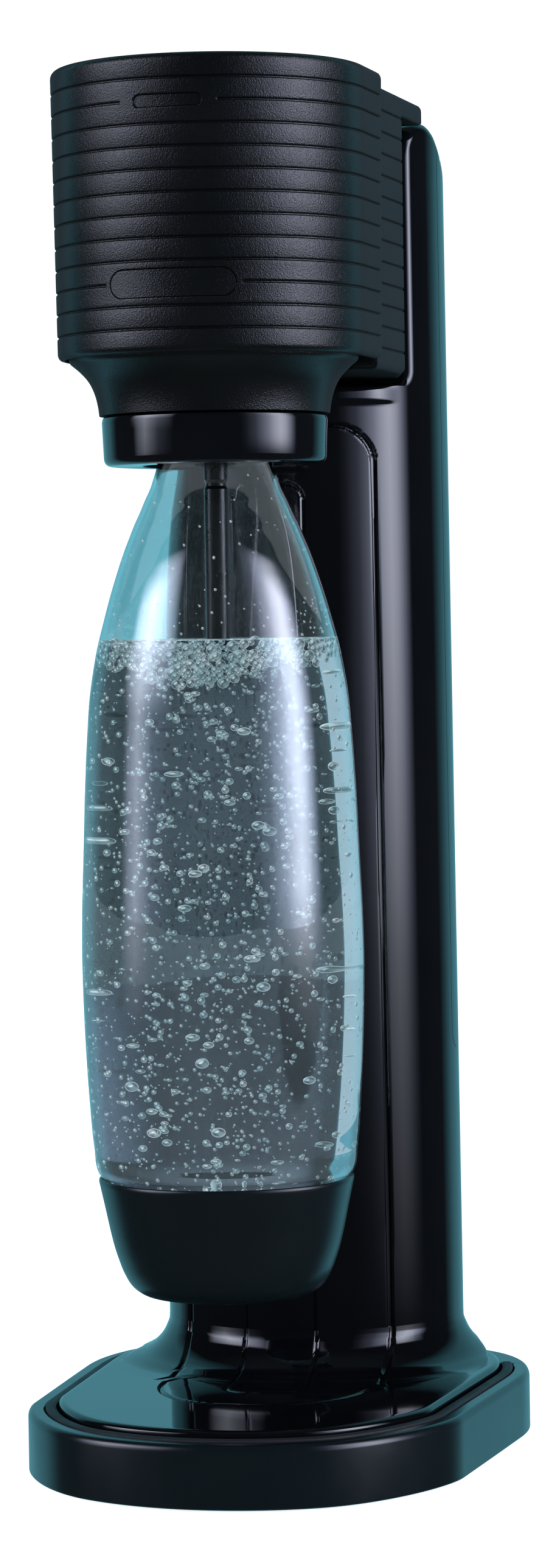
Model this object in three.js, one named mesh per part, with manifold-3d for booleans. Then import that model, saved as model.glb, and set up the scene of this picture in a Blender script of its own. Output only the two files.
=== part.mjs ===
// Soda carbonator: D-shaped base, column with gas cylinder, push-button head and hanging bottle.
// Millimetres, +Z up, the front faces -Y. Lengths are measured from the bottle axis, and the whole
// assembly is then shifted so that the origin lies under the middle of its bounding box.
import * as THREE from 'three';
import { mergeVertices, toCreasedNormals } from 'three/addons/utils/BufferGeometryUtils.js';
import Module from 'manifold-3d';

const wasm = await Module();
wasm.setup();

// ---- driving dimensions -------------------------------------------------------------------------
const GAP = 0.3; // clearance between neighbouring parts
const SHIFT_Y = -46.66; // bottle axis to the middle of the bounding box

// head
const HEAD_TOP = 425.3;
const BUTTON_TRAVEL = 3;
const BUTTON_LOW = 339.2;
const BUTTON_R = [46.7, 47.7]; // outside radius at the bottom and at the top
const BUTTON_BACK = 22.3; // straight sides run back to here
const BUTTON_WALL = 2.6;
const HOUSING_R = 44;
const HOUSING_LOW = 340.8;
const HOUSING_FRONT_TOP = 419;
const REAR_HALF = 45.2;
const REAR_NECK = 39.8; // half width where the head enters between the arms
const REAR_LOW = 334.7;
const CAP_BACK = 84.8; // the top band runs back over the arms
const REAR_FRONT = 22.7;
const REAR_BACK = 83.6;
const RIB_COUNT = 12;
const RIB_TOP = 418.05;
const RIB_PITCH = 6.56;
const RIB_HALF = 0.55;
const RIB_DEPTH = 0.9;

// column
const COL_Y = 107; // where the column is widest
const COL_A = [47.9, 46.2]; // half width at the foot and at the top
const COL_FRONT = 47; // from COL_Y forward
const COL_BACK = 27; // from COL_Y back
const COL_BACK_POWER = 2.6;
const COL_WALL = 3.2;
const COL_LOW = 37.3;
const LIP_Z = 334; // ledge under the head
const ARM_Y = 84.2; // front edge of the arms beside the head
const COVER_Y = 103;
const COVER_LOW = 122;
const PANEL_HALF = 30.6; // at the top
const PANEL_SPREAD = 1.7; // more at the foot
const PANEL_TOP = 321;
const PANEL_R = 11;
const GROOVE = 1.4;

// base
const BASE_LOW = 0.6;
const SKIRT_TOP = 20;
const BASE_FRONT = -44.4;
const BASE_BACK = 141;
const BASE_ARC_R = 74.4;
const BAND_INSET = 5;
const PLATE_INSET = 9;
const PLATE_TOP = 22.6;
const BAND_BACK = 113;
const FLARE_TOP = 37;

// gas cylinder
const CYL_Y = 99.5;
const CYL_R = 30;

// bottle, as [radius, height]
const BOTTLE_WALL = 1.2;
const BOTTLE = [
  [23.4, 61], [27.9, 64.8], [32.3, 76.2], [35.7, 91.9], [37.9, 93.6], [39.6, 100.5], [41.6, 126],
  [42.5, 158], [41.6, 190.9], [39.8, 227.7], [37.6, 247.5], [34.5, 260.6], [30.2, 275.3], [24.7, 289.9],
  [18.5, 304.4], [17.4, 308], [15.8, 310.5], [15.8, 317],
];
const CUP_LOW = 57.8;
const CUP_FLOOR = 60.6;
const CUP = [
  [21.5, CUP_LOW], [25.8, 58.6], [29.6, 61.6], [32.9, 69], [35, 76.4], [37.7, 89], [38.4, 92.4],
  [37.6, 93], [36.2, 91.6], [32.8, 75.8], [28.4, 64], [23.8, CUP_FLOOR],
];

// ---- materials ----------------------------------------------------------------------------------
const paint = (color, roughness, metalness = 0, extra = {}) => () =>
  new THREE.MeshStandardMaterial({ color, roughness, metalness, ...extra });
const matteBlack = paint(0x1b1e26, 0.62);
const glossBlack = paint(0x0a0c10, 0.08);
const satinBlack = paint(0x11191c, 0.35);
const trimBlack = paint(0x17181c, 0.8);
const clearPlastic = paint(0xcfe3e6, 0.05, 0, { transparent: true, opacity: 0.3 });
const rubber = paint(0x141414, 0.9);
const innerPlastic = paint(0x3a3d42, 0.6);
const steel = paint(0xb8bcc0, 0.3, 1);
const brass = paint(0xc2a14e, 0.35, 1);
const cylinderPaint = paint(0x8f969c, 0.4, 0.6);
const whitePlastic = paint(0xd9dadc, 0.5);

// ---- helpers ------------------------------------------------------------------------------------
// A closed geometry with its faces turned outwards, from a list of corners and triangles.
function closed(positions, triangles) {
  let volume = 0;
  const a = new THREE.Vector3();
  const b = new THREE.Vector3();
  const c = new THREE.Vector3();
  for (let i = 0; i < triangles.length; i += 3) {
    a.fromArray(positions, triangles[i] * 3);
    b.fromArray(positions, triangles[i + 1] * 3);
    c.fromArray(positions, triangles[i + 2] * 3);
    volume += a.dot(b.cross(c));
  }
  const index = volume > 0 ? triangles : [...triangles].reverse();
  const geometry = new THREE.BufferGeometry();
  geometry.setAttribute('position', new THREE.Float32BufferAttribute(positions, 3));
  geometry.setIndex(index);
  return geometry;
}

// Skins a stack of rings, each with the same number of [x, y, z] corners, and caps both ends.
function loft(stack) {
  const turn = THREE.ShapeUtils.area(stack[0].map(([x, y]) => new THREE.Vector2(x, y)));
  const rings = turn > 0 ? stack : stack.map((corners) => [...corners].reverse());
  const n = rings[0].length;
  const positions = rings.flat(2);
  const triangles = [];
  for (let k = 0; k + 1 < rings.length; k++) {
    for (let i = 0; i < n; i++) {
      const j = (i + 1) % n;
      const low = k * n;
      const high = low + n;
      triangles.push(low + i, low + j, high + j, low + i, high + j, high + i);
    }
  }
  const cap = (ring, base, flip) => {
    const flat = ring.map(([x, y]) => new THREE.Vector2(x, y));
    for (const [a, b, c] of THREE.ShapeUtils.triangulateShape(flat, [])) {
      triangles.push(...(flip ? [base + c, base + b, base + a] : [base + a, base + b, base + c]));
    }
  };
  cap(rings[0], 0, true);
  cap(rings.at(-1), (rings.length - 1) * n, false);
  return closed(positions, triangles);
}

const ring = (outline, z) => outline.map(([x, y]) => [x, y, z]);
const prism = (outline, low, high) => loft([ring(outline, low), ring(outline, high)]);
// A prism along X from a profile in Y and Z, and one along Y from a profile in X and Z.
const prismX = (outline, low, high) => rearranged(prism(outline, low, high), ([y, z, x]) => [x, y, z]);
const prismY = (outline, low, high) => rearranged(prism(outline, low, high), ([x, z, y]) => [x, y, z]);

function rearranged(geometry, move) {
  const corners = geometry.attributes.position;
  const positions = Array.from({ length: corners.count }, (_, i) =>
    move([corners.getX(i), corners.getY(i), corners.getZ(i)]),
  );
  return closed(positions.flat(), [...geometry.index.array]);
}

const rectangle = (x0, x1, y0, y1) => [[x0, y0], [x1, y0], [x1, y1], [x0, y1]];
const box = (x0, x1, y0, y1, z0, z1) => prism(rectangle(x0, x1, y0, y1), z0, z1);

function lathe(profile, x = 0, y = 0, segments = 28) {
  const points = profile.map(([r, z]) => new THREE.Vector2(r, z));
  const onAxis = profile[0][0] === 0 && profile.at(-1)[0] === 0;
  if (!onAxis) points.push(points[0].clone());
  const turned = new THREE.LatheGeometry(points, segments).rotateX(Math.PI / 2).translate(x, y, 0);
  turned.deleteAttribute('normal');
  turned.deleteAttribute('uv');
  const merged = mergeVertices(turned, 1e-4);
  const index = [];
  for (let i = 0; i < merged.index.count; i += 3) {
    const [a, b, c] = [0, 1, 2].map((k) => merged.index.getX(i + k));
    if (a !== b && b !== c && c !== a) index.push(a, b, c);
  }
  return closed([...merged.attributes.position.array], index);
}

const disc = (r, low, high, x = 0, y = 0, segments = 24) =>
  lathe([[0, low], [r, low], [r, high], [0, high]], x, y, segments);

// Solids for cutting and joining.
function solid(geometry) {
  const merged = mergeVertices(geometry, 1e-4);
  const mesh = new wasm.Mesh({
    numProp: 3,
    vertProperties: new Float32Array(merged.attributes.position.array),
    triVerts: new Uint32Array(merged.index.array),
  });
  return new wasm.Manifold(mesh);
}

function shape(manifold) {
  const mesh = manifold.getMesh();
  return closed([...mesh.vertProperties], [...mesh.triVerts]);
}

function inset(outline, distance) {
  const n = outline.length;
  return outline.map(([x, y], i) => {
    const [ax, ay] = outline[(i + n - 1) % n];
    const [bx, by] = outline[(i + 1) % n];
    const one = new THREE.Vector2(x - ax, y - ay).normalize();
    const two = new THREE.Vector2(bx - x, by - y).normalize();
    const normal = new THREE.Vector2(-one.y - two.y, one.x + two.x).normalize();
    const stretch = distance / Math.max(0.5, normal.x * -one.y + normal.y * one.x);
    return [x + normal.x * stretch, y + normal.y * stretch];
  });
}

const mix = (a, b, t) => a + (b - a) * t;

function arc(cx, cy, r, from, to, steps) {
  return Array.from({ length: steps + 1 }, (_, i) => {
    const angle = THREE.MathUtils.degToRad(mix(from, to, i / steps));
    return [cx + r * Math.cos(angle), cy + r * Math.sin(angle)];
  });
}

// ---- outlines -----------------------------------------------------------------------------------
// Plan of the base, counter-clockwise: a shallow front arc, rounded front corners, sides that widen
// a little towards the back, and large rounded back corners.
function basePlan() {
  const curve = (p, q, r, s, steps) =>
    new THREE.CubicBezierCurve(...[p, q, r, s].map((v) => new THREE.Vector2(...v))).getPoints(steps);
  const half = [];
  const arcEnd = 36.4;
  for (let i = 0; i <= 4; i++) {
    const x = (arcEnd * i) / 4;
    half.push(new THREE.Vector2(x, BASE_FRONT + BASE_ARC_R - Math.sqrt(BASE_ARC_R ** 2 - x * x)));
  }
  half.push(...curve(half.at(-1).toArray(), [53.5, -25.3], [67.2, 1.4], [68.4, 16.1], 6).slice(1));
  half.push(...curve([72.4, 86], [73.6, 117], [57, BASE_BACK], [33, BASE_BACK], 8));
  half.push(new THREE.Vector2(0, BASE_BACK));
  const right = half.map((p) => [p.x, p.y]);
  const left = right.slice(1, -1).reverse().map(([x, y]) => [-x, y]);
  return [...right, ...left];
}

// Plan of the column at height z, pulled in by a distance: round in front, flatter behind.
function columnPlan(z, pull = 0) {
  const half = mix(COL_A[0], COL_A[1], THREE.MathUtils.clamp((z - 40) / 360, 0, 1)) - pull;
  return Array.from({ length: 44 }, (_, i) => {
    const angle = (i / 44) * 2 * Math.PI;
    const c = Math.cos(angle);
    const s = Math.sin(angle);
    if (s <= 0) return [half * c, COL_Y + (COL_FRONT - pull) * s];
    const power = 2 / COL_BACK_POWER;
    const x = half * Math.sign(c) * Math.abs(c) ** power;
    return [x, COL_Y + (COL_BACK - pull) * s ** power];
  });
}

// Plan of the head: a half circle in front with straight sides running back.
function headPlan(radius, back) {
  return [...arc(0, 0, radius, 180, 360, 16), [radius, back], [-radius, back]];
}

// Stadium in X and Z.
function stadium(halfLength, halfHeight, z) {
  return [
    ...arc(halfLength - halfHeight, z, halfHeight, -90, 90, 5),
    ...arc(-(halfLength - halfHeight), z, halfHeight, 90, 270, 5),
  ];
}

// Heights and pull-in of a ribbed wall between two heights: a V groove under every rib.
function ribbed(low, high) {
  const steps = [];
  for (let i = RIB_COUNT - 1; i >= 0; i--) {
    const z = RIB_TOP - i * RIB_PITCH;
    if (z - RIB_HALF <= low || z + RIB_HALF >= high) continue;
    steps.push([z - RIB_HALF, 0], [z, RIB_DEPTH], [z + RIB_HALF, 0]);
  }
  return steps;
}

// ---- assembly -----------------------------------------------------------------------------------
const machine = new THREE.Group();
machine.name = 'soda_carbonator';
const assembly = new THREE.Group();
assembly.name = 'assembly';
assembly.position.y = SHIFT_Y;
machine.add(assembly);

function group(name) {
  const made = new THREE.Group();
  made.name = name;
  assembly.add(made);
  return made;
}

function add(parent, name, geometry, material) {
  const mesh = new THREE.Mesh(toCreasedNormals(geometry, 0.6), material());
  mesh.name = name;
  parent.add(mesh);
  return mesh;
}

// ---- base ---------------------------------------------------------------------------------------
const base = group('base');
const plan = basePlan();
const footSpots = [[-42, -8], [42, -8], [-50, 100], [50, 100]];
const screwSpots = [[-54, 36], [54, 36], [-24, 122], [24, 122]];
const plan3 = (z, pull) => ring(inset(plan, pull), z);

const skirtOutside = loft([
  plan3(BASE_LOW, 0.8), plan3(1.5, 0), plan3(15.5, 0), plan3(17.8, 0.8), plan3(19.2, 2.2),
  plan3(SKIRT_TOP, 4.2),
]);
let skirt = solid(skirtOutside)
  .subtract(solid(prism(inset(plan, 2.8), 0, 14)))
  .subtract(solid(prism(inset(plan, PLATE_INSET), 17, 21)))
  .subtract(
    solid(prism(inset(plan, BAND_INSET), 17, 21)).intersect(
      solid(box(-90, 90, -60, BAND_BACK, 16, 22)),
    ),
  );
for (const [x, y] of screwSpots) {
  skirt = skirt.add(solid(disc(4.5, 4.8, 14.5, x, y, 14))).subtract(solid(disc(1.9, 4, 13, x, y, 10)));
}
add(base, 'base_skirt', shape(skirt), glossBlack);

const bandRing = solid(
  loft([plan3(17.3, BAND_INSET + GAP), plan3(19.9, BAND_INSET + GAP), plan3(20.4, BAND_INSET + 0.9)]),
)
  .subtract(solid(prism(inset(plan, PLATE_INSET), 16, 22)))
  .intersect(solid(box(-90, 90, -60, BAND_BACK - GAP, 16, 22)));
add(base, 'base_band', shape(bandRing), trimBlack);

const flareSteps = [
  [20.4, 19], [22.6, 14.5], [23.6, 10.6], [25.2, 7.4], [27.6, 4.6], [30.6, 2.4], [33.8, 0.8],
  [FLARE_TOP, 0],
];
const flare = solid(loft(flareSteps.map(([z, out]) => ring(columnPlan(40, -out), z)))).intersect(
  solid(prism(inset(plan, 4.3), 20, 40)),
);
const plate = solid(
  loft([
    plan3(17.3, PLATE_INSET + GAP), plan3(21.2, PLATE_INSET + GAP), plan3(22.2, PLATE_INSET + 0.8),
    plan3(PLATE_TOP, PLATE_INSET + 1.8),
  ]),
);
const baseTop = plate.add(flare).subtract(solid(prism(columnPlan(40, 4.4), 26, 40)));
add(base, 'base_top', shape(baseTop), glossBlack);

let bottomPlate = solid(prism(inset(plan, 3.1), 1.5, 4.5));
for (const [x, y] of footSpots) bottomPlate = bottomPlate.subtract(solid(disc(8, 1, 2.7, x, y, 18)));
for (const [x, y] of screwSpots) {
  bottomPlate = bottomPlate
    .subtract(solid(disc(2.2, 1, 5, x, y, 12)))
    .subtract(solid(disc(4.4, 1, 3.2, x, y, 14)));
}
add(base, 'bottom_plate', shape(bottomPlate), innerPlastic);

footSpots.forEach(([x, y], i) => {
  const foot = lathe([[0, 0], [6.6, 0], [7.6, 0.8], [7.6, 2.4], [0, 2.4]], x, y, 18);
  add(base, `foot_${i + 1}`, foot, rubber);
});
screwSpots.forEach(([x, y], i) => {
  const profile = [[0, 1.7], [3.9, 1.7], [3.9, 2.9], [1.6, 2.9], [1.6, 12], [0, 12.6]];
  add(base, `screw_${i + 1}`, lathe(profile, x, y, 10), steel);
});

// ---- column -------------------------------------------------------------------------------------
const column = group('column');
const columnSide = [
  [50, COL_LOW], [50, LIP_Z], ...arc(ARM_Y - 5, LIP_Z + 5, 5, -90, 0, 4), [ARM_Y, 408.6],
  [85.2, 412.4], [87.6, 415], [91, 416.7], [96, 417.5], [100, 415.9], [104, 413], [108, 409.8],
  [113, 405.4], [122, 396], [129, 386], [133, 376], [137, 364], [137, COL_LOW],
];
const cavitySide = [
  [62, 30], [62, LIP_Z - COL_WALL], [ARM_Y + COL_WALL, LIP_Z - COL_WALL], [ARM_Y + COL_WALL, 408.4],
  [89.4, 411.6], [92, 413.2], [95.6, 413.8], [98.6, 412.6], [102, 410.2], [106, 407], [111, 402.6],
  [119.6, 393.6], [126, 384.4], [129.8, 374.8], [134, 362], [134, 30],
];
const columnHeights = [COL_LOW, 130, 230, LIP_Z, 420];
const columnTube = (pull, low = COL_LOW) =>
  solid(loft([low, ...columnHeights.slice(1)].map((z) => ring(columnPlan(z, pull), z))));
const columnOuter = columnTube(0).intersect(solid(prismX(columnSide, -60, 60)));
const columnCavity = columnTube(COL_WALL, 30).intersect(solid(prismX(cavitySide, -60, 60)));
const columnHollow = columnOuter.subtract(columnCavity);
const archCut = solid(
  prismX([[80, LIP_Z + 9], [92, LIP_Z + 9], [92, 405], [80, 405]], -35, 35),
);

// Outline in X and Z with rounded top corners, wider at the foot by the given spread on each side.
function panelOutline(half, top, radius, low, spread = 0) {
  return [
    [half + spread, low], ...arc(half - radius, top - radius, radius, 0, 90, 6),
    ...arc(-half + radius, top - radius, radius, 90, 180, 6), [-half - spread, low],
  ];
}
function panelBlock(grow) {
  const outline = panelOutline(PANEL_HALF + grow, PANEL_TOP + grow, PANEL_R + grow, 30, PANEL_SPREAD);
  return solid(prismY(outline, 50, 95));
}
// Everything behind y and above low, with a rounded lower front corner.
const coverCut = (low, y, radius) => {
  const corner = arc(y + radius, low + radius, radius, 180, 270, 6);
  return solid(prismX([...corner, [150, low], [150, 430], [y, 430]], -60, 60));
};
const panelPocket = panelBlock(GROOVE).subtract(columnTube(1.9, 29));
const shell = columnHollow
  .subtract(archCut)
  .subtract(coverCut(COVER_LOW, COVER_Y, 7))
  .subtract(panelPocket);
add(column, 'column_shell', shape(shell), glossBlack);

const panelBlank = columnOuter
  .subtract(columnTube(1.6, 29))
  .intersect(panelBlock(0));
const loopGroove = solid(prismY(panelOutline(11.6, 304, 6, 30), 50, 95))
  .subtract(solid(prismY(panelOutline(10.4, 302.8, 4.8, 29), 49, 96)))
  .subtract(columnTube(0.7, 29));
add(column, 'front_panel', shape(panelBlank.subtract(loopGroove)), glossBlack);

const cover = columnHollow.intersect(coverCut(COVER_LOW + GAP, COVER_Y + GAP, 6.7));
add(column, 'rear_cover', shape(cover), glossBlack);

// ---- gas cylinder -------------------------------------------------------------------------------
const cylinder = group('gas_cylinder');
const seat = lathe([[0, 26.3], [29, 26.3], [29, 29.9], [19.5, 29.9], [19, 33], [0, 33]], 0, CYL_Y);
add(cylinder, 'cylinder_seat', seat, innerPlastic);
const bodyProfile = [
  [0, 35], [20.5, 35], [22, 30.3], [27, 30.3], [CYL_R, 34], [CYL_R, 285], [28.6, 294], [24.4, 303],
  [17.5, 310], [14, 313.6], [14, 318], [8.5, 318], [8.5, 312], [15, 307], [22, 300], [25.4, 292.4],
  [CYL_R - 3.4, 284], [CYL_R - 3.4, 40], [25, 38.5], [0, 38.5],
];
add(cylinder, 'cylinder_body', lathe(bodyProfile, 0, CYL_Y, 28), cylinderPaint);
const valveProfile = [
  [0, 318.3], [11, 318.3], [11, 330], [9, 330.6], [9, 342.6], [4, 343], [4, 345.6], [0, 346],
];
add(cylinder, 'cylinder_valve', lathe(valveProfile, 0, CYL_Y, 24), brass);
const collarProfile = [
  [11.3, 318.4], [18.4, 318.4], [19.2, 319.4], [19.2, 326], [18.2, 327], [11.3, 327],
];
add(cylinder, 'cylinder_collar', lathe(collarProfile, 0, CYL_Y, 28), whitePlastic);

// ---- head ---------------------------------------------------------------------------------------
const head = group('head');
const frontRibless = prism(headPlan(HOUSING_R, REAR_FRONT + 1), HOUSING_LOW, HOUSING_FRONT_TOP);
const rearPlan = (pull) => [
  [-REAR_HALF + pull, REAR_FRONT], [REAR_HALF - pull, REAR_FRONT], [REAR_HALF - pull, 72.5],
  [REAR_NECK - pull, REAR_BACK], [-REAR_NECK + pull, REAR_BACK], [-REAR_HALF + pull, 72.5],
];
const REAR_TOP = HEAD_TOP - BUTTON_TRAVEL;
const shiftRibs = (steps) => steps.map(([z, pull]) => [z - BUTTON_TRAVEL, pull]);
const rearRings = [
  [REAR_LOW, 1.4], [REAR_LOW + 1, 0.4], [REAR_LOW + 2.2, 0], ...shiftRibs(ribbed(344, HEAD_TOP)),
  [REAR_TOP - 2, 0], [REAR_TOP - 0.6, 0.6], [REAR_TOP, 2],
];
const rearBlock = solid(loft(rearRings.map(([z, pull]) => ring(rearPlan(pull), z))));
const capPlan = (pull) => rectangle(-REAR_HALF + pull, REAR_HALF - pull, 70, CAP_BACK - pull);
const rearCap = solid(
  loft([
    ring(capPlan(0.3), 416), ring(capPlan(0), 416.6), ring(capPlan(0), REAR_TOP - 2),
    ring(capPlan(0.6), REAR_TOP - 0.6), ring(capPlan(2), REAR_TOP),
  ]),
);
const springWell = solid(disc(11.8, 393.6, 418, 0, 0, 28));
const housing = solid(frontRibless)
  .add(rearBlock)
  .add(rearCap)
  .subtract(solid(prism(headPlan(HOUSING_R - 2.6, 95), HOUSING_LOW + 2.6, 416.2)))
  .add(springWell)
  .subtract(solid(disc(9.8, 396.4, 420, 0, 0, 28)))
  .subtract(solid(disc(5, 390, 420, 0, 0, 24)))
  .subtract(solid(disc(9, 335, 346, 0, 0, 24)))
  .subtract(solid(disc(43.9, 330, HOUSING_LOW, 0, 0, 36)))
  .subtract(solid(prismX([[77, 333], [86, 333], [86, 344.6]], -50, 50)));
add(head, 'head_housing', shape(housing), matteBlack);

const bowlProfile = [
  [12, 322.6], [34.6, 322.6], [35.6, 328], [37.8, 333.3], [41.2, 336.8], [43.2, 338.4], [43.4, 340.5],
  [41, 340.5], [36.6, 335.6], [33.4, 328.6], [32.6, 325.2], [12, 325.2],
];
add(head, 'bowl', lathe(bowlProfile, 0, 0, 36), matteBlack);

// ---- button -------------------------------------------------------------------------------------
const button = group('button');
const buttonRadius = (z) => mix(BUTTON_R[0], BUTTON_R[1], (z - BUTTON_LOW) / (HEAD_TOP - BUTTON_LOW));
const buttonRings = [
  [BUTTON_LOW, 1.4], [BUTTON_LOW + 1.1, 0.3], [BUTTON_LOW + 2.6, 0],
  ...ribbed(BUTTON_LOW + 4, HEAD_TOP - 2),
  [HEAD_TOP - 2.4, 0], [HEAD_TOP - 0.8, 0.8], [HEAD_TOP, 2.6],
];
const headPocket = ({ half, tall, z }, floor) =>
  solid(prismY(stadium(half, tall, z), -60, -20)).subtract(solid(disc(floor, z - 20, z + 20, 0, 0, 48)));
const SLOT = { half: 10.4, tall: 2, z: RIB_TOP - RIB_PITCH };
const BADGE = { half: 19.2, tall: 4.3, z: RIB_TOP - 9 * RIB_PITCH };
const buttonOutside = loft(
  buttonRings.map(([z, pull]) => ring(headPlan(buttonRadius(z) - pull, BUTTON_BACK - pull), z)),
);
const buttonShell = solid(buttonOutside)
  .subtract(solid(prism(headPlan(BUTTON_R[0] - BUTTON_WALL + 0.5, 40), 330, HEAD_TOP - 2.5)))
  .add(solid(disc(4, 380.4, HEAD_TOP - 1.5, 0, 0, 20)))
  .subtract(headPocket(SLOT, 46.1))
  .subtract(headPocket(BADGE, 45.6));
add(button, 'button_shell', shape(buttonShell), matteBlack);
// A curved plate that lies in a pocket, between two radii.
const sliver = (spot, inner, outer) =>
  solid(prismY(stadium(spot.half - GAP, spot.tall - GAP, spot.z), -60, -20))
    .intersect(solid(disc(outer, spot.z - 10, spot.z + 10, 0, 0, 48)))
    .subtract(solid(disc(inner, spot.z - 20, spot.z + 20, 0, 0, 48)));
add(button, 'slot_insert', shape(sliver(SLOT, 46.35, 47.1)), glossBlack);
add(button, 'badge_plate', shape(sliver(BADGE, 45.85, 46.8)), glossBlack);

// A round bar swept along a curve.
function tube(path, radius, steps, sides) {
  const corners = arc(0, 0, radius, 0, 360 - 360 / sides, sides - 1);
  const outline = new THREE.Shape(corners.map((p) => new THREE.Vector2(...p)));
  const swept = new THREE.ExtrudeGeometry(outline, { steps, extrudePath: path, bevelEnabled: false });
  swept.deleteAttribute('normal');
  swept.deleteAttribute('uv');
  const merged = mergeVertices(swept, 1e-3);
  return closed([...merged.attributes.position.array], [...merged.index.array]);
}
const springPath = new THREE.CatmullRomCurve3(
  Array.from({ length: 33 }, (_, i) => {
    const angle = (i / 32) * 3 * 2 * Math.PI;
    return new THREE.Vector3(7.4 * Math.cos(angle), 7.4 * Math.sin(angle), mix(397.9, 421.5, i / 32));
  }),
);
add(button, 'button_spring', tube(springPath, 0.8, 45, 5), steel);

// ---- valve and lever ----------------------------------------------------------------------------
const valve = group('valve');
const LEVER_Y = 118;
const LEVER_Z = 377;
const blockProfile = [
  [4.4, 331], [11.6, 331], [11.6, 344.2], [19, 344.2], [19, 364.6], [17.6, 366], [4.4, 366],
];
const valveBlock = solid(lathe(blockProfile, 0, CYL_Y, 24))
  .add(solid(disc(5, 331, 366, 0, CYL_Y, 24)))
  .subtract(solid(disc(9.4, 330, 343.4, 0, CYL_Y, 28)))
  .subtract(solid(disc(4.4, 340, 348, 0, CYL_Y, 24)))
  .subtract(solid(disc(3.1, 340, 370, 0, CYL_Y, 20)));
add(valve, 'valve_block', shape(valveBlock), brass);

let bracket = solid(box(-34, 34, 50, 126, 352, 356));
for (const side of [-1, 1]) {
  const post = side > 0 ? [26, 34] : [-34, -26];
  bracket = bracket.add(solid(box(...post, 50, 56, 343.8, 353)));
  const ear = side > 0 ? [5.2, 9.2] : [-9.2, -5.2];
  bracket = bracket.add(solid(box(...ear, LEVER_Y - 5, LEVER_Y + 5, 355, LEVER_Z + 5)));
}
const crossHole = (r) =>
  solid(prismX(arc(LEVER_Y, LEVER_Z, r, 0, 340, 17), -20, 20));
bracket = bracket
  .subtract(solid(disc(19.4, 340, 370, 0, CYL_Y, 24)))
  .subtract(crossHole(2.7))
  .intersect(columnTube(COL_WALL + 1.2, 340).add(solid(box(-60, 60, 0, 90, 330, 420))));
add(valve, 'valve_bracket', shape(bracket), steel);

const pinProfile = [[0, 347.2], [2.7, 347.2], [2.7, 368], [5, 368.2], [5, 370.6], [0, 371]];
add(valve, 'valve_pin', lathe(pinProfile, 0, CYL_Y, 20), steel);

const leverSide = [
  [-5, 375], [86, 375], [92, 371.4], [107, 371.4], [111, 372.5], [123, 372.5], [123, 381.5], [108, 381.5],
  [92, 380], [-5, 380],
];
const lever = solid(prismX(leverSide, -4.6, 4.6)).subtract(crossHole(2.7));
add(valve, 'lever', shape(lever), steel);
add(valve, 'lever_pin', prismX(arc(LEVER_Y, LEVER_Z, 2.5, 0, 340, 17), -11, 11), steel);

const reliefProfile = [[0, 0], [4.4, 0], [4.4, 7], [3, 8.4], [0, 8.4]];
const relief = lathe(reliefProfile, 0, 0, 20).rotateY(Math.PI / 2).translate(19.4, CYL_Y, 361);
add(valve, 'relief_valve', relief, brass);

const gasRoute = [
  [10, 81.6, 361], [9, 66, 361.4], [7, 44, 361.4], [3, 20, 358], [0.6, 5, 350], [0, 0, 343], [0, 0, 338.6],
];
const gasPath = new THREE.CatmullRomCurve3(gasRoute.map((p) => new THREE.Vector3(...p)));
add(valve, 'gas_tube', tube(gasPath, 2.1, 24, 6), whitePlastic);

// ---- bottle holder ------------------------------------------------------------------------------
const holder = group('holder');
const ringProfile = [
  [7.4, 319.2], [20.8, 319.2], [20.8, 309.6], [22.4, 307.5], [30.9, 307.5],
  [33.4, 310], [33.9, 320.6], [32.6, 322], [7.4, 322],
];
add(holder, 'holder_ring', lathe(ringProfile, 0, 0, 36), glossBlack);
add(holder, 'neck_seal', lathe([[9, 317.4], [18.6, 317.4], [18.6, 318.9], [9, 318.9]], 0, 0, 32), rubber);
const hubProfile = [[0, 314], [4.8, 314], [7, 316.4], [7, 336.8], [6.2, 338], [0, 338]];
add(holder, 'nozzle_hub', lathe(hubProfile, 0, 0, 24), innerPlastic);
const nozzleProfile = [[0, 250], [2.3, 250], [3.6, 253], [3.6, 313.7], [0, 313.7]];
add(holder, 'nozzle_tube', lathe(nozzleProfile, 0, 0, 20), satinBlack);

// ---- bottle -------------------------------------------------------------------------------------
const bottle = group('bottle');
const bottleInside = BOTTLE.map(([r, z]) => [r - BOTTLE_WALL, z]).reverse();
bottleInside[bottleInside.length - 1] = [BOTTLE[0][0] - 0.4, BOTTLE[0][1] + BOTTLE_WALL];
bottleInside[bottleInside.length - 2] = [BOTTLE[1][0] - 1.1, BOTTLE[1][1] + 0.9];
const bottleProfile = [[0, BOTTLE[0][1]], ...BOTTLE, ...bottleInside, [0, BOTTLE[0][1] + BOTTLE_WALL]];
add(bottle, 'bottle_body', lathe(bottleProfile, 0, 0, 32), clearPlastic);
add(bottle, 'bottle_cup', lathe([[0, CUP_LOW], ...CUP, [0, CUP_FLOOR]], 0, 0, 36), satinBlack);

export default machine;
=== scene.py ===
import random
from functools import partial
from math import acos, asin, atan2, cos, degrees, hypot, pi, radians, sin, sqrt, tan

import bmesh
import bpy
import numpy as np
from mathutils import Matrix, Vector
from mathutils.kdtree import KDTree
from numpy.linalg import norm


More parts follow.
